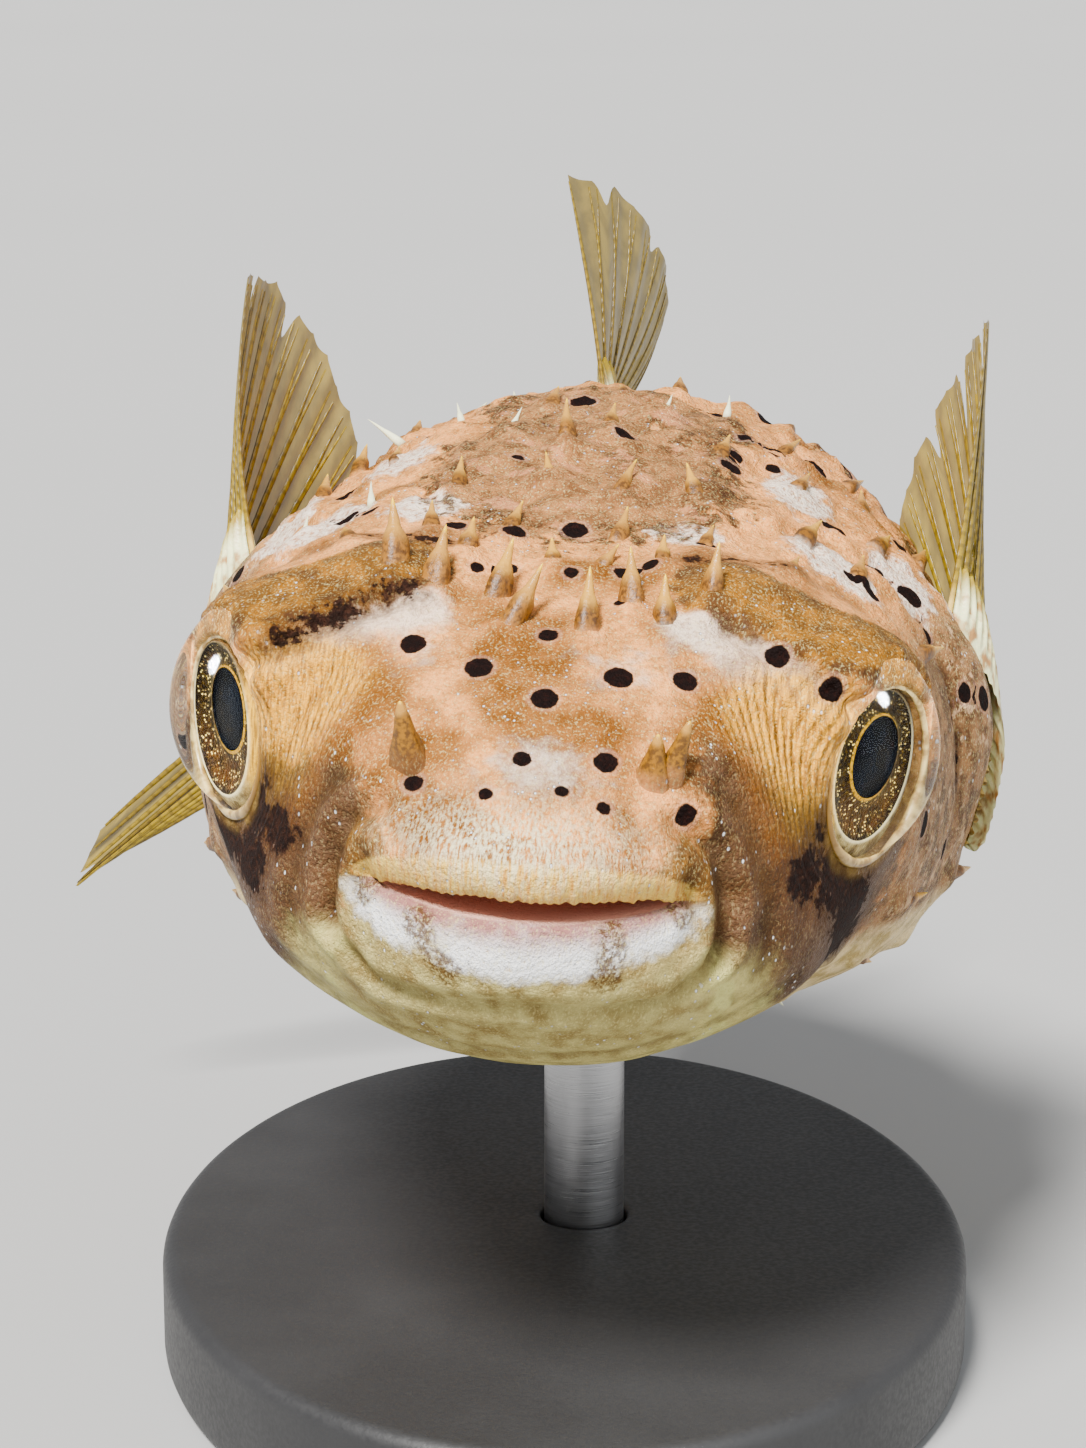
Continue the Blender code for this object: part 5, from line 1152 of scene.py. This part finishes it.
def build_skin(spines):
    along, around = even_places()
    A, V = np.broadcast_arrays(along[:, None], around[None, :])
    p = skin_points(A, V)
    n = skin_normals(A, V)
    flat = p.reshape(-1, 3)
    spots = []
    for x, y, z, r in FACE_SPOTS + side_spots():
        k = np.argmin(((flat - np.array((x, y, z))) ** 2).sum(-1) + np.where(A.ravel() < along_of("lip_edge"), 50, 0))
        spots.append((*flat[k], r * 1.08))
    f = fields(p, A, V, spots)
    h = fine_height(p, A, V, spines) - 0.06
    calm = 1 - smooth(f["eye_r"], 6.8, 6.0) * 0.9
    q = p + n * (h * calm)[..., None]
    w = posed(q)
    rows, columns = A.shape
    quads = grid_quads(rows, columns, True)
    points = np.concatenate([w.reshape(-1, 3), [w[0].mean(axis=0)], [w[-1].mean(axis=0)]])
    first, last = rows * columns, rows * columns + 1
    j = np.arange(columns)
    k = (j + 1) % columns
    tris = np.concatenate([np.stack([np.full(columns, first), k, j], -1), np.stack([np.full(columns, last), last - 1 - columns + j, last - 1 - columns + k], -1)])
    ends = lambda g: np.concatenate([g.reshape(-1), [g[0].mean(), g[-1].mean()]])
    spot_at = f.pop("spot_at")
    floats = {key: ends(value) for key, value in f.items()}
    spot_at = np.concatenate([spot_at.reshape(-1, 3), [spot_at[0, 0]], [spot_at[-1, 0]]])
    canon = np.concatenate([p.reshape(-1, 3), [p[0].mean(axis=0)], [p[-1].mean(axis=0)]])
    uv_point = np.stack([np.broadcast_to(around[None, :] / (2 * math.pi), A.shape), np.broadcast_to((along / along[-1])[:, None], A.shape)], -1)
    corner_uv = []
    wrap = quads.reshape(rows - 1, columns, 4)
    u = uv_point[..., 0].ravel()
    vv = uv_point[..., 1].ravel()
    cu, cv = u[wrap], vv[wrap]
    cu[:, -1, 1:3] = 1.0
    quad_uv = np.stack([cu, cv], -1).reshape(-1, 2)
    edge_u = np.append(around / (2 * math.pi), 1.0)
    cap = lambda row_v, mid_v, order: np.stack([np.stack([(edge_u[:-1] + edge_u[1:]) / 2, np.full(columns, mid_v)], -1), *[np.stack([edge_u[1:] if o else edge_u[:-1], np.full(columns, row_v)], -1) for o in order]], 1).reshape(-1, 2)
    uv = np.concatenate([quad_uv, cap(0.0, 0.0, (1, 0)), cap(1.0, 1.0, (0, 1))]) * 0.998 + 0.001
    made = mesh_object("skin", points, quads, skin_material(), tris, floats, {"canon": canon, "spot_at": spot_at}, uv)
    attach(made, "root")
    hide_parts("head", "trunk", "tail")
    return spots


# ---------------------------------------------------------------- spines
# Along each spine (0 at its foot, 1 at its tip) the radius of its sheath in mm, for one 4.6 mm long.
SHEATH = np.array([(-0.16, 1.16), (-0.08, 1.10), (0.0, 1.00), (0.09, 0.88), (0.18, 0.80), (0.28, 0.74), (0.38, 0.69), (0.47, 0.62), (0.545, 0.53), (0.60, 0.42),
                   (0.64, 0.35), (0.72, 0.29), (0.80, 0.22), (0.88, 0.15), (0.95, 0.075), (1.0, 0.015)])


def build_spines(spines, spots):
    root, way, length, normal = spines
    chance = np.random.RandomState(5)
    sides = 14
    u = 2 * math.pi * np.arange(sides) / sides
    cones = []
    for p, d, size, up in zip(root, way, length, normal):
        fore = p[1] < 24
        bare = chance.uniform(0, 1) < (0.08 if fore else 0.16)
        wide = (1.10 if fore else 0.88) * (0.46 if bare else chance.uniform(0.90, 1.12))
        cones.append((p, d, size * (0.92 if bare else 1.0), up, wide, 1.0 if bare else 0.0, False))
    for p, d, up in nostril_tubes():
        way_out = np.array((np.sign(p[0]), 0.0, 0.0))
        if p[0] < 0:
            cones.append((p, d, NOSTRIL_SIZE[1] * 0.98, up, 1.36, 0.0, True))
        else:
            cones.append((p - way_out * 0.30, unit(d - way_out * 0.10), NOSTRIL_SIZE[1] * 0.74, up, 1.30, 0.0, True))
            cones.append((p + way_out * 0.50 + np.array((0, 0.3, 0.1)), unit(d + way_out * 0.16 + np.array((0, 0.10, 0.0))), NOSTRIL_SIZE[1] * 0.94, up, 1.16, 0.0, True))
    points, quads, canon, ups, owns, bony, uvs, which = [], [], [], [], [], [], [], []
    start = 0
    for i, (p, d, size, up, wide, bare, nasal) in enumerate(cones):
        profile = SHEATH
        if nasal:
            profile = np.array([(-0.15, 1.30), (0.0, 1.08), (0.12, 0.88), (0.28, 0.70), (0.45, 0.56), (0.60, 0.46), (0.74, 0.37), (0.85, 0.27), (0.93, 0.18), (0.98, 0.09), (1.0, 0.015)])
        k = profile[:, 0]
        side = unit(np.cross(d, up))
        across = np.cross(side, d)                       # upright of the spine's own
        ahead = unit(d - up * (d @ up))                  # the way it points, in the skin
        # its rings lie in the skin at the foot and turn square to the spine by a quarter of its length
        turn = smooth(k, 0.02, 0.30)[:, None]
        tilt = unit(-ahead * (1 - turn) + across * turn)
        droop = -0.05 * size * np.clip(k, 0, 1) ** 2 * (0 if nasal else 1)
        wander = chance.uniform(-0.07, 0.07) * size * np.clip(k, 0, 1) ** 2
        centre = p - up * 0.42 + d * (k * (size + 0.3))[:, None] + up * droop[:, None] + side * wander[:, None]
        radius = wide * profile[:, 1] * (1 if nasal else (size / 4.6) ** 0.5)
        ridge = 1 + 0.09 * (np.sin(u * 3 + chance.uniform(0, 6)) + 0.6 * np.sin(u * 5 + chance.uniform(0, 6)))[None, :] * (smooth(k, 0.62, 0.45) * (1 - bare))[:, None]
        lumps = 1 + (0.05 * np.sin(k * 17 + chance.uniform(0, 6)) * smooth(k, 0.62, 0.50))[:, None]
        ring = centre[:, None] + (radius[:, None] * ridge * lumps)[..., None] * (np.cos(u)[None, :, None] * side + np.sin(u)[None, :, None] * tilt[:, None] * 1.03)
        points.append(posed(ring).reshape(-1, 3))
        quads.append(grid_quads(len(profile), sides, True, start))
        start += len(profile) * sides
        canon.append(ring.reshape(-1, 3))
        value = np.repeat(k, sides)
        ups.append(np.clip(value, 0, 1) * (1.0 if not nasal else 1.0) if not nasal else np.interp(value, (0, 0.3, 0.8, 0.9, 1.0), (0.0, 0.10, 0.34, 0.72, 0.95)))
        owns.append(np.full(len(value), chance.uniform(0, 1)))
        bony.append(np.full(len(value), bare))
        angle = math.atan2(p[2] + 3.6, p[0])
        level = along_at(p[1], angle) / STATION_AT[-1]
        reach = (0.2 + 0.8 * np.clip(k, 0, 1))[:, None]
        patch = 0.0015 * np.stack([np.cos(u)[None, :] * reach, np.sin(u)[None, :] * reach], -1)
        uvs.append((np.array(((angle % (2 * math.pi)) / (2 * math.pi), level)) * 0.99 + 0.005 + patch).reshape(-1, 2))
        which.append(np.full(len(value), i))
    points, quads, canon, ups, owns, bony, uvs, which = (np.concatenate(c) for c in (points, quads, canon, ups, owns, bony, uvs, which))
    # the skin's fields at each foot, so that the markings run on over the sheaths
    place = np.array([c[0] for c in cones])
    level = np.array([along_at(q[1], math.atan2(q[2] + 3.6, q[0])) for q in place])
    f = fields(place, level, np.arctan2(place[:, 2] + 3.6, place[:, 0]), spots)
    f["spot"] = np.maximum(f["spot"], 1.2)
    f["mouth"] = f["mouth"] * 0
    f["rim"] = f["rim"] * 0
    vectors = {"canon": canon, "spot_at": f.pop("spot_at")[which]}
    floats = {key: value[which] for key, value in f.items()}
    floats.update(up=ups, own=owns, bony=bony, nasal=np.array([1.0 if c[6] else 0.0 for c in cones])[which])
    made = mesh_object("spines", points, quads, spine_material(), None, floats, vectors, uvs)
    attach(made, "root")


# ---------------------------------------------------------------- eyes
EYE_UP = unit(np.array((0.0, 0.0, 1.0)) - EYE_AXIS[2] * EYE_AXIS)
EYE_FORE = np.cross(EYE_AXIS, EYE_UP)
PUPIL_SIZE = (2.80, 2.72)       # half-width and half-height, mm
IRIS_SIZE = (4.70, 4.98)
IRIS_UP, PUPIL_UP = 0.60, 0.61
IRIS_AT, PUPIL_AT = (3.05, 3.75), (3.10, 3.25)      # how far out their planes lie, for the left and the right eye


def eye_points(rings, side):
    """World and canonical points from rings of (axial, fore, up) in the eye's own frame."""
    q = EYE_CENTRE + rings[..., :1] * EYE_AXIS + rings[..., 1:2] * EYE_FORE + rings[..., 2:3] * EYE_UP
    q = q * np.array((side, 1.0, 1.0))
    return posed(q), q


def build_eye(side, label, materials):
    count = 96
    u = 2 * math.pi * np.arange(count) / count
    cu, su = np.cos(u), np.sin(u)
    edge_at, pupil_at = (IRIS_AT[0 if side > 0 else 1], PUPIL_AT[0 if side > 0 else 1])
    rows, value = [], []
    # the wall of the ball, from behind to a little under the skin's edge
    for a in np.linspace(0.02, 1.0, 14):
        angle = math.pi - a * (math.pi - math.asin(6.15 / 6.55))
        r, axial = 6.55 * math.sin(angle), 6.55 * math.cos(angle)
        rows.append(np.stack([np.full(count, axial), r * cu, r * su], -1))
        value.append(np.full(count, 1.5))
    # pale tissue that slopes in to the iris
    for k in np.linspace(0.85, 0.0, 7):
        r_f, r_u = (size + (6.15 - size) * k for size in IRIS_SIZE)
        axial = edge_at + 0.10 + (2.25 - edge_at) * k**1.3
        rows.append(np.stack([np.full(count, axial), r_f * cu, r_u * su + IRIS_UP * (1 - k)], -1))
        value.append(np.full(count, 1.15 + 0.35 * k))
    # the iris, a shallow dish that rises again to the pupil
    for k in np.linspace(1.0, 0.0, 28):
        r_f, r_u = (pupil + (size - pupil) * k for pupil, size in zip(PUPIL_SIZE, IRIS_SIZE))
        axial = edge_at * k + pupil_at * (1 - k) - 0.30 * math.sin(math.pi * k) + 0.12 * (1 - k) ** 3
        rows.append(np.stack([np.full(count, axial), r_f * cu, r_u * su + IRIS_UP + PUPIL_UP * (1 - k)], -1))
        value.append(np.full(count, k))
    # the pupil's turned-in edge and the lens behind it
    for k, deep in ((0.985, 0.10), (0.97, -0.02)):
        rows.append(np.stack([np.full(count, pupil_at + deep), PUPIL_SIZE[0] * k * cu, PUPIL_SIZE[1] * k * su + IRIS_UP + PUPIL_UP], -1))
        value.append(np.full(count, -0.05))
    for k in np.linspace(0.96, 0.02, 12):
        axial = pupil_at - 0.05 + 0.55 * (math.sqrt(1 - (k * 0.94) ** 2) - math.sqrt(1 - 0.9**2))
        rows.append(np.stack([np.full(count, axial), PUPIL_SIZE[0] * k * cu, PUPIL_SIZE[1] * k * su + IRIS_UP + PUPIL_UP], -1))
        value.append(np.full(count, -0.3))
    rings = np.array(rows)
    world, canon = eye_points(rings, side)
    quads = grid_quads(len(rings), count, True)
    if side > 0:
        quads = quads[:, ::-1]
    last = rings.shape[0] * count
    tip = world[-1].mean(axis=0)
    low = np.clip(-(rings[..., 2] - 0.4) / 4.0, 0, 1)
    j = np.arange(count)
    k = (j + 1) % count
    tris = np.stack([np.full(count, last), last - count + j, last - count + k], -1)
    if side > 0:
        tris = tris[:, ::-1]
    value = np.append(np.array(value).ravel(), -0.3)
    turn = np.broadcast_to(cu, rings.shape[:2]).ravel()
    ball = mesh_object("eyeball_" + label, np.concatenate([world.reshape(-1, 3), [tip]]), quads, materials["iris"], tris,
                       {"iris_r": value, "iris_low": np.append(low.ravel(), 0), "fore": np.append(turn, 0), "above": np.append(np.broadcast_to(su, rings.shape[:2]).ravel(), 0)},
                       {"canon": np.concatenate([canon.reshape(-1, 3), [canon[-1].mean(axis=0)]])})
    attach(ball, "root")
    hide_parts("eye_" + label)
    # the clear cornea, taller than it is wide
    rows = []
    for a in np.linspace(math.radians(66), 0.02, 32):
        rows.append(np.stack([np.full(count, 7.12 * math.cos(a)), 6.86 * math.sin(a) * cu, 1.15 + 7.95 * math.sin(a) * su], -1))
    rings = np.array(rows)
    world, canon = eye_points(rings, side)
    quads = grid_quads(len(rings), count, True)
    last = len(rings) * count
    tris = np.stack([np.full(count, last), last - count + j, last - count + k], -1)
    if side > 0:
        quads, tris = quads[:, ::-1], tris[:, ::-1]
    clear = mesh_object("cornea_" + label, np.concatenate([world.reshape(-1, 3), [world[-1].mean(axis=0)]]), quads, materials["cornea"], tris, None,
                        {"canon": np.concatenate([canon.reshape(-1, 3), [canon[-1].mean(axis=0)]])})
    clear.visible_shadow = False
    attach(clear, "root")
    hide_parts("eye_" + label)
    # the soft pale rim round it: thick below and behind, hardly any on the side of the nose
    tube = 16
    w = 2 * math.pi * np.arange(tube) / tube
    deep = smooth(-su, -0.25, 0.95)
    behind = smooth(-cu, 0.1, 0.95) * (1.0 if side > 0 else 0.25)
    nose = smooth(cu, 0.35, 0.95)
    thick = 0.17 + 0.20 * deep + 0.05 * behind - 0.03 * nose + 0.02 * np.sin(u * 5 + 1) + 0.02 * np.sin(u * 11)
    centre_r, centre_a = 5.90 - 0.06 * deep - 0.04 * behind, 3.42 + 0.10 * deep
    rings = np.stack([centre_a[:, None] + thick[:, None] * 0.85 * np.sin(w), (centre_r[:, None] + thick[:, None] * np.cos(w)) * cu[:, None], (centre_r[:, None] + thick[:, None] * np.cos(w)) * su[:, None]], -1)
    world, canon = eye_points(rings, side)
    q = grid_quads(count, tube, True).reshape(count - 1, tube, 4)
    close = np.stack([(count - 1) * tube + np.arange(tube), (count - 1) * tube + (np.arange(tube) + 1) % tube, (np.arange(tube) + 1) % tube, np.arange(tube)], -1)
    quads = np.concatenate([q.reshape(-1, 4), close])
    if side < 0:
        quads = quads[:, ::-1]
    lid = mesh_object("eye_rim_" + label, world.reshape(-1, 3), quads, materials["rim"], None, {"front": np.repeat(nose, tube)}, {"canon": canon.reshape(-1, 3)})
    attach(lid, "root")
    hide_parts("eye_" + label)


# ---------------------------------------------------------------- fins
def build_fin(name, materials):
    chance = np.random.RandomState(sum(map(ord, name)))
    count = FIN_RAYS[name]
    folded = name == "caudal_fin"
    length = fin_plan(name, np.array([0.5]))[3][0]
    worn = 1 - chance.uniform(0.0, 0.03, count)
    step = 1.0 / (count - 1)
    # rays: flat ribbons, each splitting in two towards its tip
    sides, cuts = 8, 30
    s = np.linspace(-0.03, 1.0, cuts)
    u = 2 * math.pi * np.arange(sides) / sides
    points, quads, alongs, owns, flanks = [], [], [], [], []
    start = 0
    for k in range(count):
        t0 = k * step
        branches = [0.0] if k == 0 or folded else [-0.17, 0.17]
        for fork in branches:
            own = chance.uniform(0, 1)
            reach = worn[k] * (0.972 - (0.012 * chance.uniform(0, 1) if fork else 0))
            run = s * reach
            drift = 0.05 * noise3(np.stack([s * 2.5, np.full(cuts, k * 1.7), np.full(cuts, 0.3)], -1), 3)
            t = np.clip(t0 + step * (fork * smooth(s, 0.66, 1.0) + drift * np.clip(s, 0, 1)), 0, 1)
            line = fin_points(name, t, run)
            eps = 0.004
            across = fin_points(name, np.clip(t + eps, 0, 1), run) - fin_points(name, np.clip(t - eps, 0, 1), run)
            ahead = np.gradient(line, axis=0)
            flat = unit(np.cross(ahead, across))
            wide = unit(np.cross(flat, ahead))
            half = np.interp(s, (0, 0.12, 0.5, 0.68, 0.85, 1.0), (0.20, 0.25, 0.25, 0.235, 0.17, 0.09)) * (1.15 if name.startswith("pectoral") else 0.92)
            if len(branches) > 1:
                half = half * np.interp(s, (0.0, 0.62, 0.9), (1.0, 1.0, 0.72))
            half = half * (1.2 if k == 0 else 1.0) * MM * (1 + 0.05 * np.sin(s * 70 + k))
            thick = np.interp(s, (0, 0.3, 1.0), (0.20, 0.15, 0.05)) * MM
            ring = line[:, None] + (half[:, None, None] * np.cos(u)[None, :, None] * wide[:, None] + thick[:, None, None] * np.sin(u)[None, :, None] * flat[:, None])
            points.append(ring.reshape(-1, 3))
            quads.append(grid_quads(cuts, sides, True, start))
            start += cuts * sides
            alongs.append(np.repeat(np.clip(s, 0, 1), sides))
            owns.append(np.full(cuts * sides, own))
            flanks.append(np.tile(np.abs(np.cos(u)), cuts))
    rays = mesh_object(name + "_rays", np.concatenate(points), np.concatenate(quads), materials["ray"], None,
                       {"along_ray": np.concatenate(alongs), "own": np.concatenate(owns), "flank": np.concatenate(flanks)})
    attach(rays, "root")
    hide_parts(name)
    # the thin web between them: its edge is rounded from ray to ray, with a cleft here and there
    per = 10
    t = np.linspace(0, 1, (count - 1) * per + 1)
    s = np.linspace(-0.01, 1.0, 36)
    between = np.abs(np.sin(math.pi * t * (count - 1)))
    edge = np.interp(t, np.arange(count) * step, worn) + 0.002 - (0.010 if not folded else 0.008) * between**0.7
    if name == "pectoral_fin_right":
        cut = ((2.5, 0.10), (6.5, 0.08))
    elif name == "pectoral_fin_left":
        cut = ((3.5, 0.30), (6.5, 0.18), (9.5, 0.10))
    else:
        cut = tuple((k + 0.5, chance.uniform(0.04, 0.12)) for k in chance.choice(count - 1, max(2, count // 5), replace=False))
    for k, size in cut:
        edge = edge - size * np.exp(-(((t - k * step) / (0.26 * step)) ** 2))
    grid = fin_points(name, t[:, None], s[None, :] * edge[:, None])
    d_t, d_s = np.gradient(grid, axis=0), np.gradient(grid, axis=1)
    normal = unit(np.cross(d_t, d_s))
    ripple = 0.14 * np.sin(math.pi * t * (count - 1)) ** 2 * np.where(np.arange(len(t)) // per % 2, 1, -1)
    grid = grid + normal * (ripple[:, None] * np.clip(s, 0, 1)[None, :])[..., None] * MM
    where = np.stack(np.broadcast_arrays(t[:, None] * count * 2.2, s[None, :] * 20, np.zeros((1, 1))), -1)
    web = mesh_object(name + "_web", grid.reshape(-1, 3), grid_quads(len(t), len(s), False), materials["web"], None, {"along_ray": np.broadcast_to(np.clip(s, 0, 1), grid.shape[:2]).ravel()}, {"canon": where.reshape(-1, 3)})
    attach(web, "root")
    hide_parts(name)
    # the fleshy root from which the rays spread, with a lobe at the foot of each
    t = np.linspace(0.0, 1.0, 12 * (count - 1) + 1)
    s = np.array([-1.5, -0.8, 0.0, 0.7, 1.3, 1.9, 2.5, 3.0, 3.5, 3.8]) / length
    if folded:
        s = s * 0.7
    fade = np.interp(s * length, (-1.5, 0.0, 1.5, 3.0, 3.8), (1.0, 0.95, 0.72, 0.38, 0.08))
    lobe = np.cos(t * (count - 1) * math.pi * 2)
    grid = fin_points(name, t[:, None], s[None, :] * (1 + 0.07 * lobe)[:, None])
    d_t, d_s = np.gradient(grid, axis=0), np.gradient(grid, axis=1)
    normal = unit(np.cross(d_t, d_s))
    ends = np.clip(np.minimum(t, 1 - t) / 0.05, 0, 1) ** 0.5
    half = (0.95 if not folded else 0.8) * fade[None, :] * (0.35 + 0.65 * ends)[:, None] * (1 + 0.20 * lobe[:, None] * smooth(s * length, -0.5, 1.5)[None, :]) * MM
    a, b = grid + normal * half[..., None], grid - normal * half[..., None]
    m, n = grid.shape[:2]
    top, low = grid_quads(m, n, False), grid_quads(m, n, False, m * n)[:, ::-1]
    def strip(i):
        i = np.asarray(i)
        return np.stack([i[:-1], i[1:], i[1:] + m * n, i[:-1] + m * n], -1)
    walls = np.concatenate([strip(np.arange(m) * n + n - 1)[:, ::-1], strip(np.arange(n)), strip((m - 1) * n + np.arange(n))[:, ::-1]])
    where = np.concatenate([np.stack(np.broadcast_arrays(t[:, None] * 20, s[None, :] * length, np.full((1, 1), k)), -1).reshape(-1, 3) for k in (0.0, 3.0)])
    flesh = mesh_object(name + "_root", np.concatenate([a.reshape(-1, 3), b.reshape(-1, 3)]), np.concatenate([top, low, walls]), materials["root"], None,
                        {"along_ray": np.tile(np.broadcast_to(np.clip(s, 0, 1), grid.shape[:2]).ravel(), 2)}, {"canon": where})
    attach(flesh, "root")
    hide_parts(name)


# ---------------------------------------------------------------- stand, floor, light and camera
BASE_HALF, BASE_THICKNESS, BASE_CORNER = (30.0, 41.0), 8.0, 1.2
ROD_RADIUS, ROD_FOOT, ROD_TOP, HOLE_GAP = 3.0, 3.0, 33.0, 0.3
ROD_PLACE = (1.5, 2.0)


def corner_arc(r_from, z_from, radius, first, last, steps=7):
    """(size, height) pairs round a corner whose centre is given, from one angle to another in degrees."""
    return [(r_from + radius * math.cos(math.radians(a)), z_from + radius * math.sin(math.radians(a))) for a in np.linspace(first, last, steps)]


def stand_part(name, rings, made, node):
    """A closed body from rings of points (mm), with a fan over each end."""
    rings = np.array(rings) * MM
    rows, count = rings.shape[:2]
    quads = grid_quads(rows, count, True)
    j = np.arange(count)
    k = (j + 1) % count
    low, high = rows * count, rows * count + 1
    tris = np.concatenate([np.stack([np.full(count, low), j, k], -1), np.stack([np.full(count, high), high - 1 - count + k, high - 1 - count + j], -1)])
    made_of = mesh_object(name, np.concatenate([rings.reshape(-1, 3), [rings[0].mean(axis=0)], [rings[-1].mean(axis=0)]]), quads[:, ::-1], made, tris[:, ::-1])
    work = bmesh.new()
    work.from_mesh(made_of.data)
    bmesh.ops.recalc_face_normals(work, faces=work.faces[:])
    work.to_mesh(made_of.data)
    work.free()
    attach(made_of, "root")
    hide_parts(node)


def build_stand():
    """The oval base with its hole and the round rod, at their real size, with truly round sides."""
    count = 240
    u = 2 * math.pi * np.arange(count) / count
    cu, su = np.cos(u), np.sin(u)
    c = BASE_CORNER
    profile = [(-c - 0.4, 0.0)] + corner_arc(-c, c, c, -90, 0) + corner_arc(-c, BASE_THICKNESS - c, c, 0, 90)
    rings = [np.stack([(BASE_HALF[0] + r) * cu, (BASE_HALF[1] + r) * su, np.full(count, z)], -1) for r, z in profile]
    edge = rings[-1]
    hole = ROD_RADIUS + HOLE_GAP
    mouth = np.stack([ROD_PLACE[0] + (hole + 0.15) * cu, ROD_PLACE[1] + (hole + 0.15) * su, np.full(count, BASE_THICKNESS)], -1)
    rings += [edge + (mouth - edge) * k for k in (0.02, 0.2, 0.4, 0.6, 0.8, 0.98, 1.0)]
    for r, z in ((hole, BASE_THICKNESS - 0.15), (hole, BASE_THICKNESS - 1.0), (hole, ROD_FOOT - HOLE_GAP + 0.2), (hole - 0.1, ROD_FOOT - HOLE_GAP)):
        rings.append(np.stack([ROD_PLACE[0] + r * cu, ROD_PLACE[1] + r * su, np.full(count, z)], -1))
    stand_part("stand_base_turned", rings, stand_material(), "stand_base")
    profile = corner_arc(ROD_RADIUS - 0.5, ROD_FOOT + 0.5, 0.5, -90, 0) + [(ROD_RADIUS, 18.0)] + corner_arc(ROD_RADIUS - 0.6, ROD_TOP - 0.6, 0.6, 0, 90)
    rings = [np.stack([ROD_PLACE[0] + r * cu, ROD_PLACE[1] + r * su, np.full(count, z)], -1) for r, z in profile]
    stand_part("stand_rod_turned", rings, rod_material(), "stand_rod")


def build_setting():
    build_stand()
    s = Shade("floor_pale")
    at = s.node("ShaderNodeTexCoord").outputs["Object"]
    s.shader(Base_Color=s.mix(s.noise(at, 3.0, 2.0), (0.345, 0.345, 0.342, 1), (0.372, 0.372, 0.369, 1)), Roughness=0.75, Normal=s.bump(s.noise(at, 900.0, 2.0), 0.00003, 0.4))
    size = 6.0
    floor = mesh_object("floor", [(-size, -size, 0), (size, -size, 0), (size, size, 0), (-size, size, 0)], [(0, 1, 2, 3)], s.made, None, None, None, None, False)

    world = bpy.data.worlds.new("studio")
    bpy.context.scene.world = world
    world.use_nodes = True
    world.node_tree.nodes["Background"].inputs[0].default_value = (0.93, 0.96, 1.0, 1.0)
    world.node_tree.nodes["Background"].inputs[1].default_value = 0.42

    def lamp(name, place, aim, size, watts, colour=(1, 1, 1)):
        light = bpy.data.lights.new(name, "AREA")
        light.shape = "DISK"
        light.size = size
        light.energy = watts
        light.color = colour
        thing = bpy.data.objects.new(name, light)
        thing.location = place
        thing.rotation_euler = (Vector(aim) - Vector(place)).to_track_quat("-Z", "Y").to_euler()
        bpy.context.scene.collection.objects.link(thing)
        return thing

    sun = bpy.data.lights.new("key", "SUN")
    sun.energy, sun.angle, sun.color = 11.4, math.radians(16.0), (1.0, 0.98, 0.95)
    thing = bpy.data.objects.new("key", sun)
    thing.rotation_euler = (-Vector((-0.30, -0.62, 0.92))).to_track_quat("-Z", "Y").to_euler()
    bpy.context.scene.collection.objects.link(thing)
    fill = bpy.data.lights.new("fill", "SUN")
    fill.energy, fill.angle, fill.color = 1.7, math.radians(80.0), (0.95, 0.98, 1.0)
    thing = bpy.data.objects.new("fill", fill)
    thing.rotation_euler = (-Vector((0.46, -0.34, 0.26))).to_track_quat("-Z", "Y").to_euler()
    bpy.context.scene.collection.objects.link(thing)
    # a small lamp beside each eye makes the bright point on it, and lights nothing else
    ground = bpy.data.collections.new("ground")
    ground.objects.link(floor)
    for label, place in (("left", (0.200, -0.118, 0.209)), ("right", (-0.242, -0.070, 0.171))):
        clear = bpy.data.objects["cornea_" + label]
        only = bpy.data.collections.new("lit_" + label)
        only.objects.link(clear)
        thing = lamp("glint_" + label, place, (0.0, -0.030, 0.057), 0.064, 19.0)
        thing.light_linking.receiver_collection = only
        thing.light_linking.blocker_collection = ground

    elevation, far, focal = math.radians(14.0), 0.250, 3800.0 / 1448.0
    aim = Vector(((EYES_AT[0] - 0.6) * MM, EYES_AT[1] * MM, (EYE_LEVEL + 1.2) * MM))
    data = bpy.data.cameras.new("camera")
    data.sensor_width = 36.0
    data.lens = 36.0 * focal
    data.clip_start, data.clip_end = 0.01, 30.0
    camera = bpy.data.objects.new("camera", data)
    camera.location = aim + Vector((0.0, -math.cos(elevation), math.sin(elevation))) * far
    camera.rotation_euler = (aim - camera.location).to_track_quat("-Z", "Y").to_euler()
    bpy.context.scene.collection.objects.link(camera)
    bpy.context.scene.camera = camera


def build():
    spines = spine_list()
    spots = build_skin(spines)
    build_spines(spines, spots)
    eyes = {"iris": iris_material(), "cornea": cornea_material(), "rim": rim_material()}
    for side, label in ((1.0, "left"), (-1.0, "right")):
        build_eye(side, label, eyes)
    fins = {"ray": ray_material(), "web": web_material(), "root": root_material()}
    for name in FIN_RAYS:
        build_fin(name, fins)
    build_setting()


build()
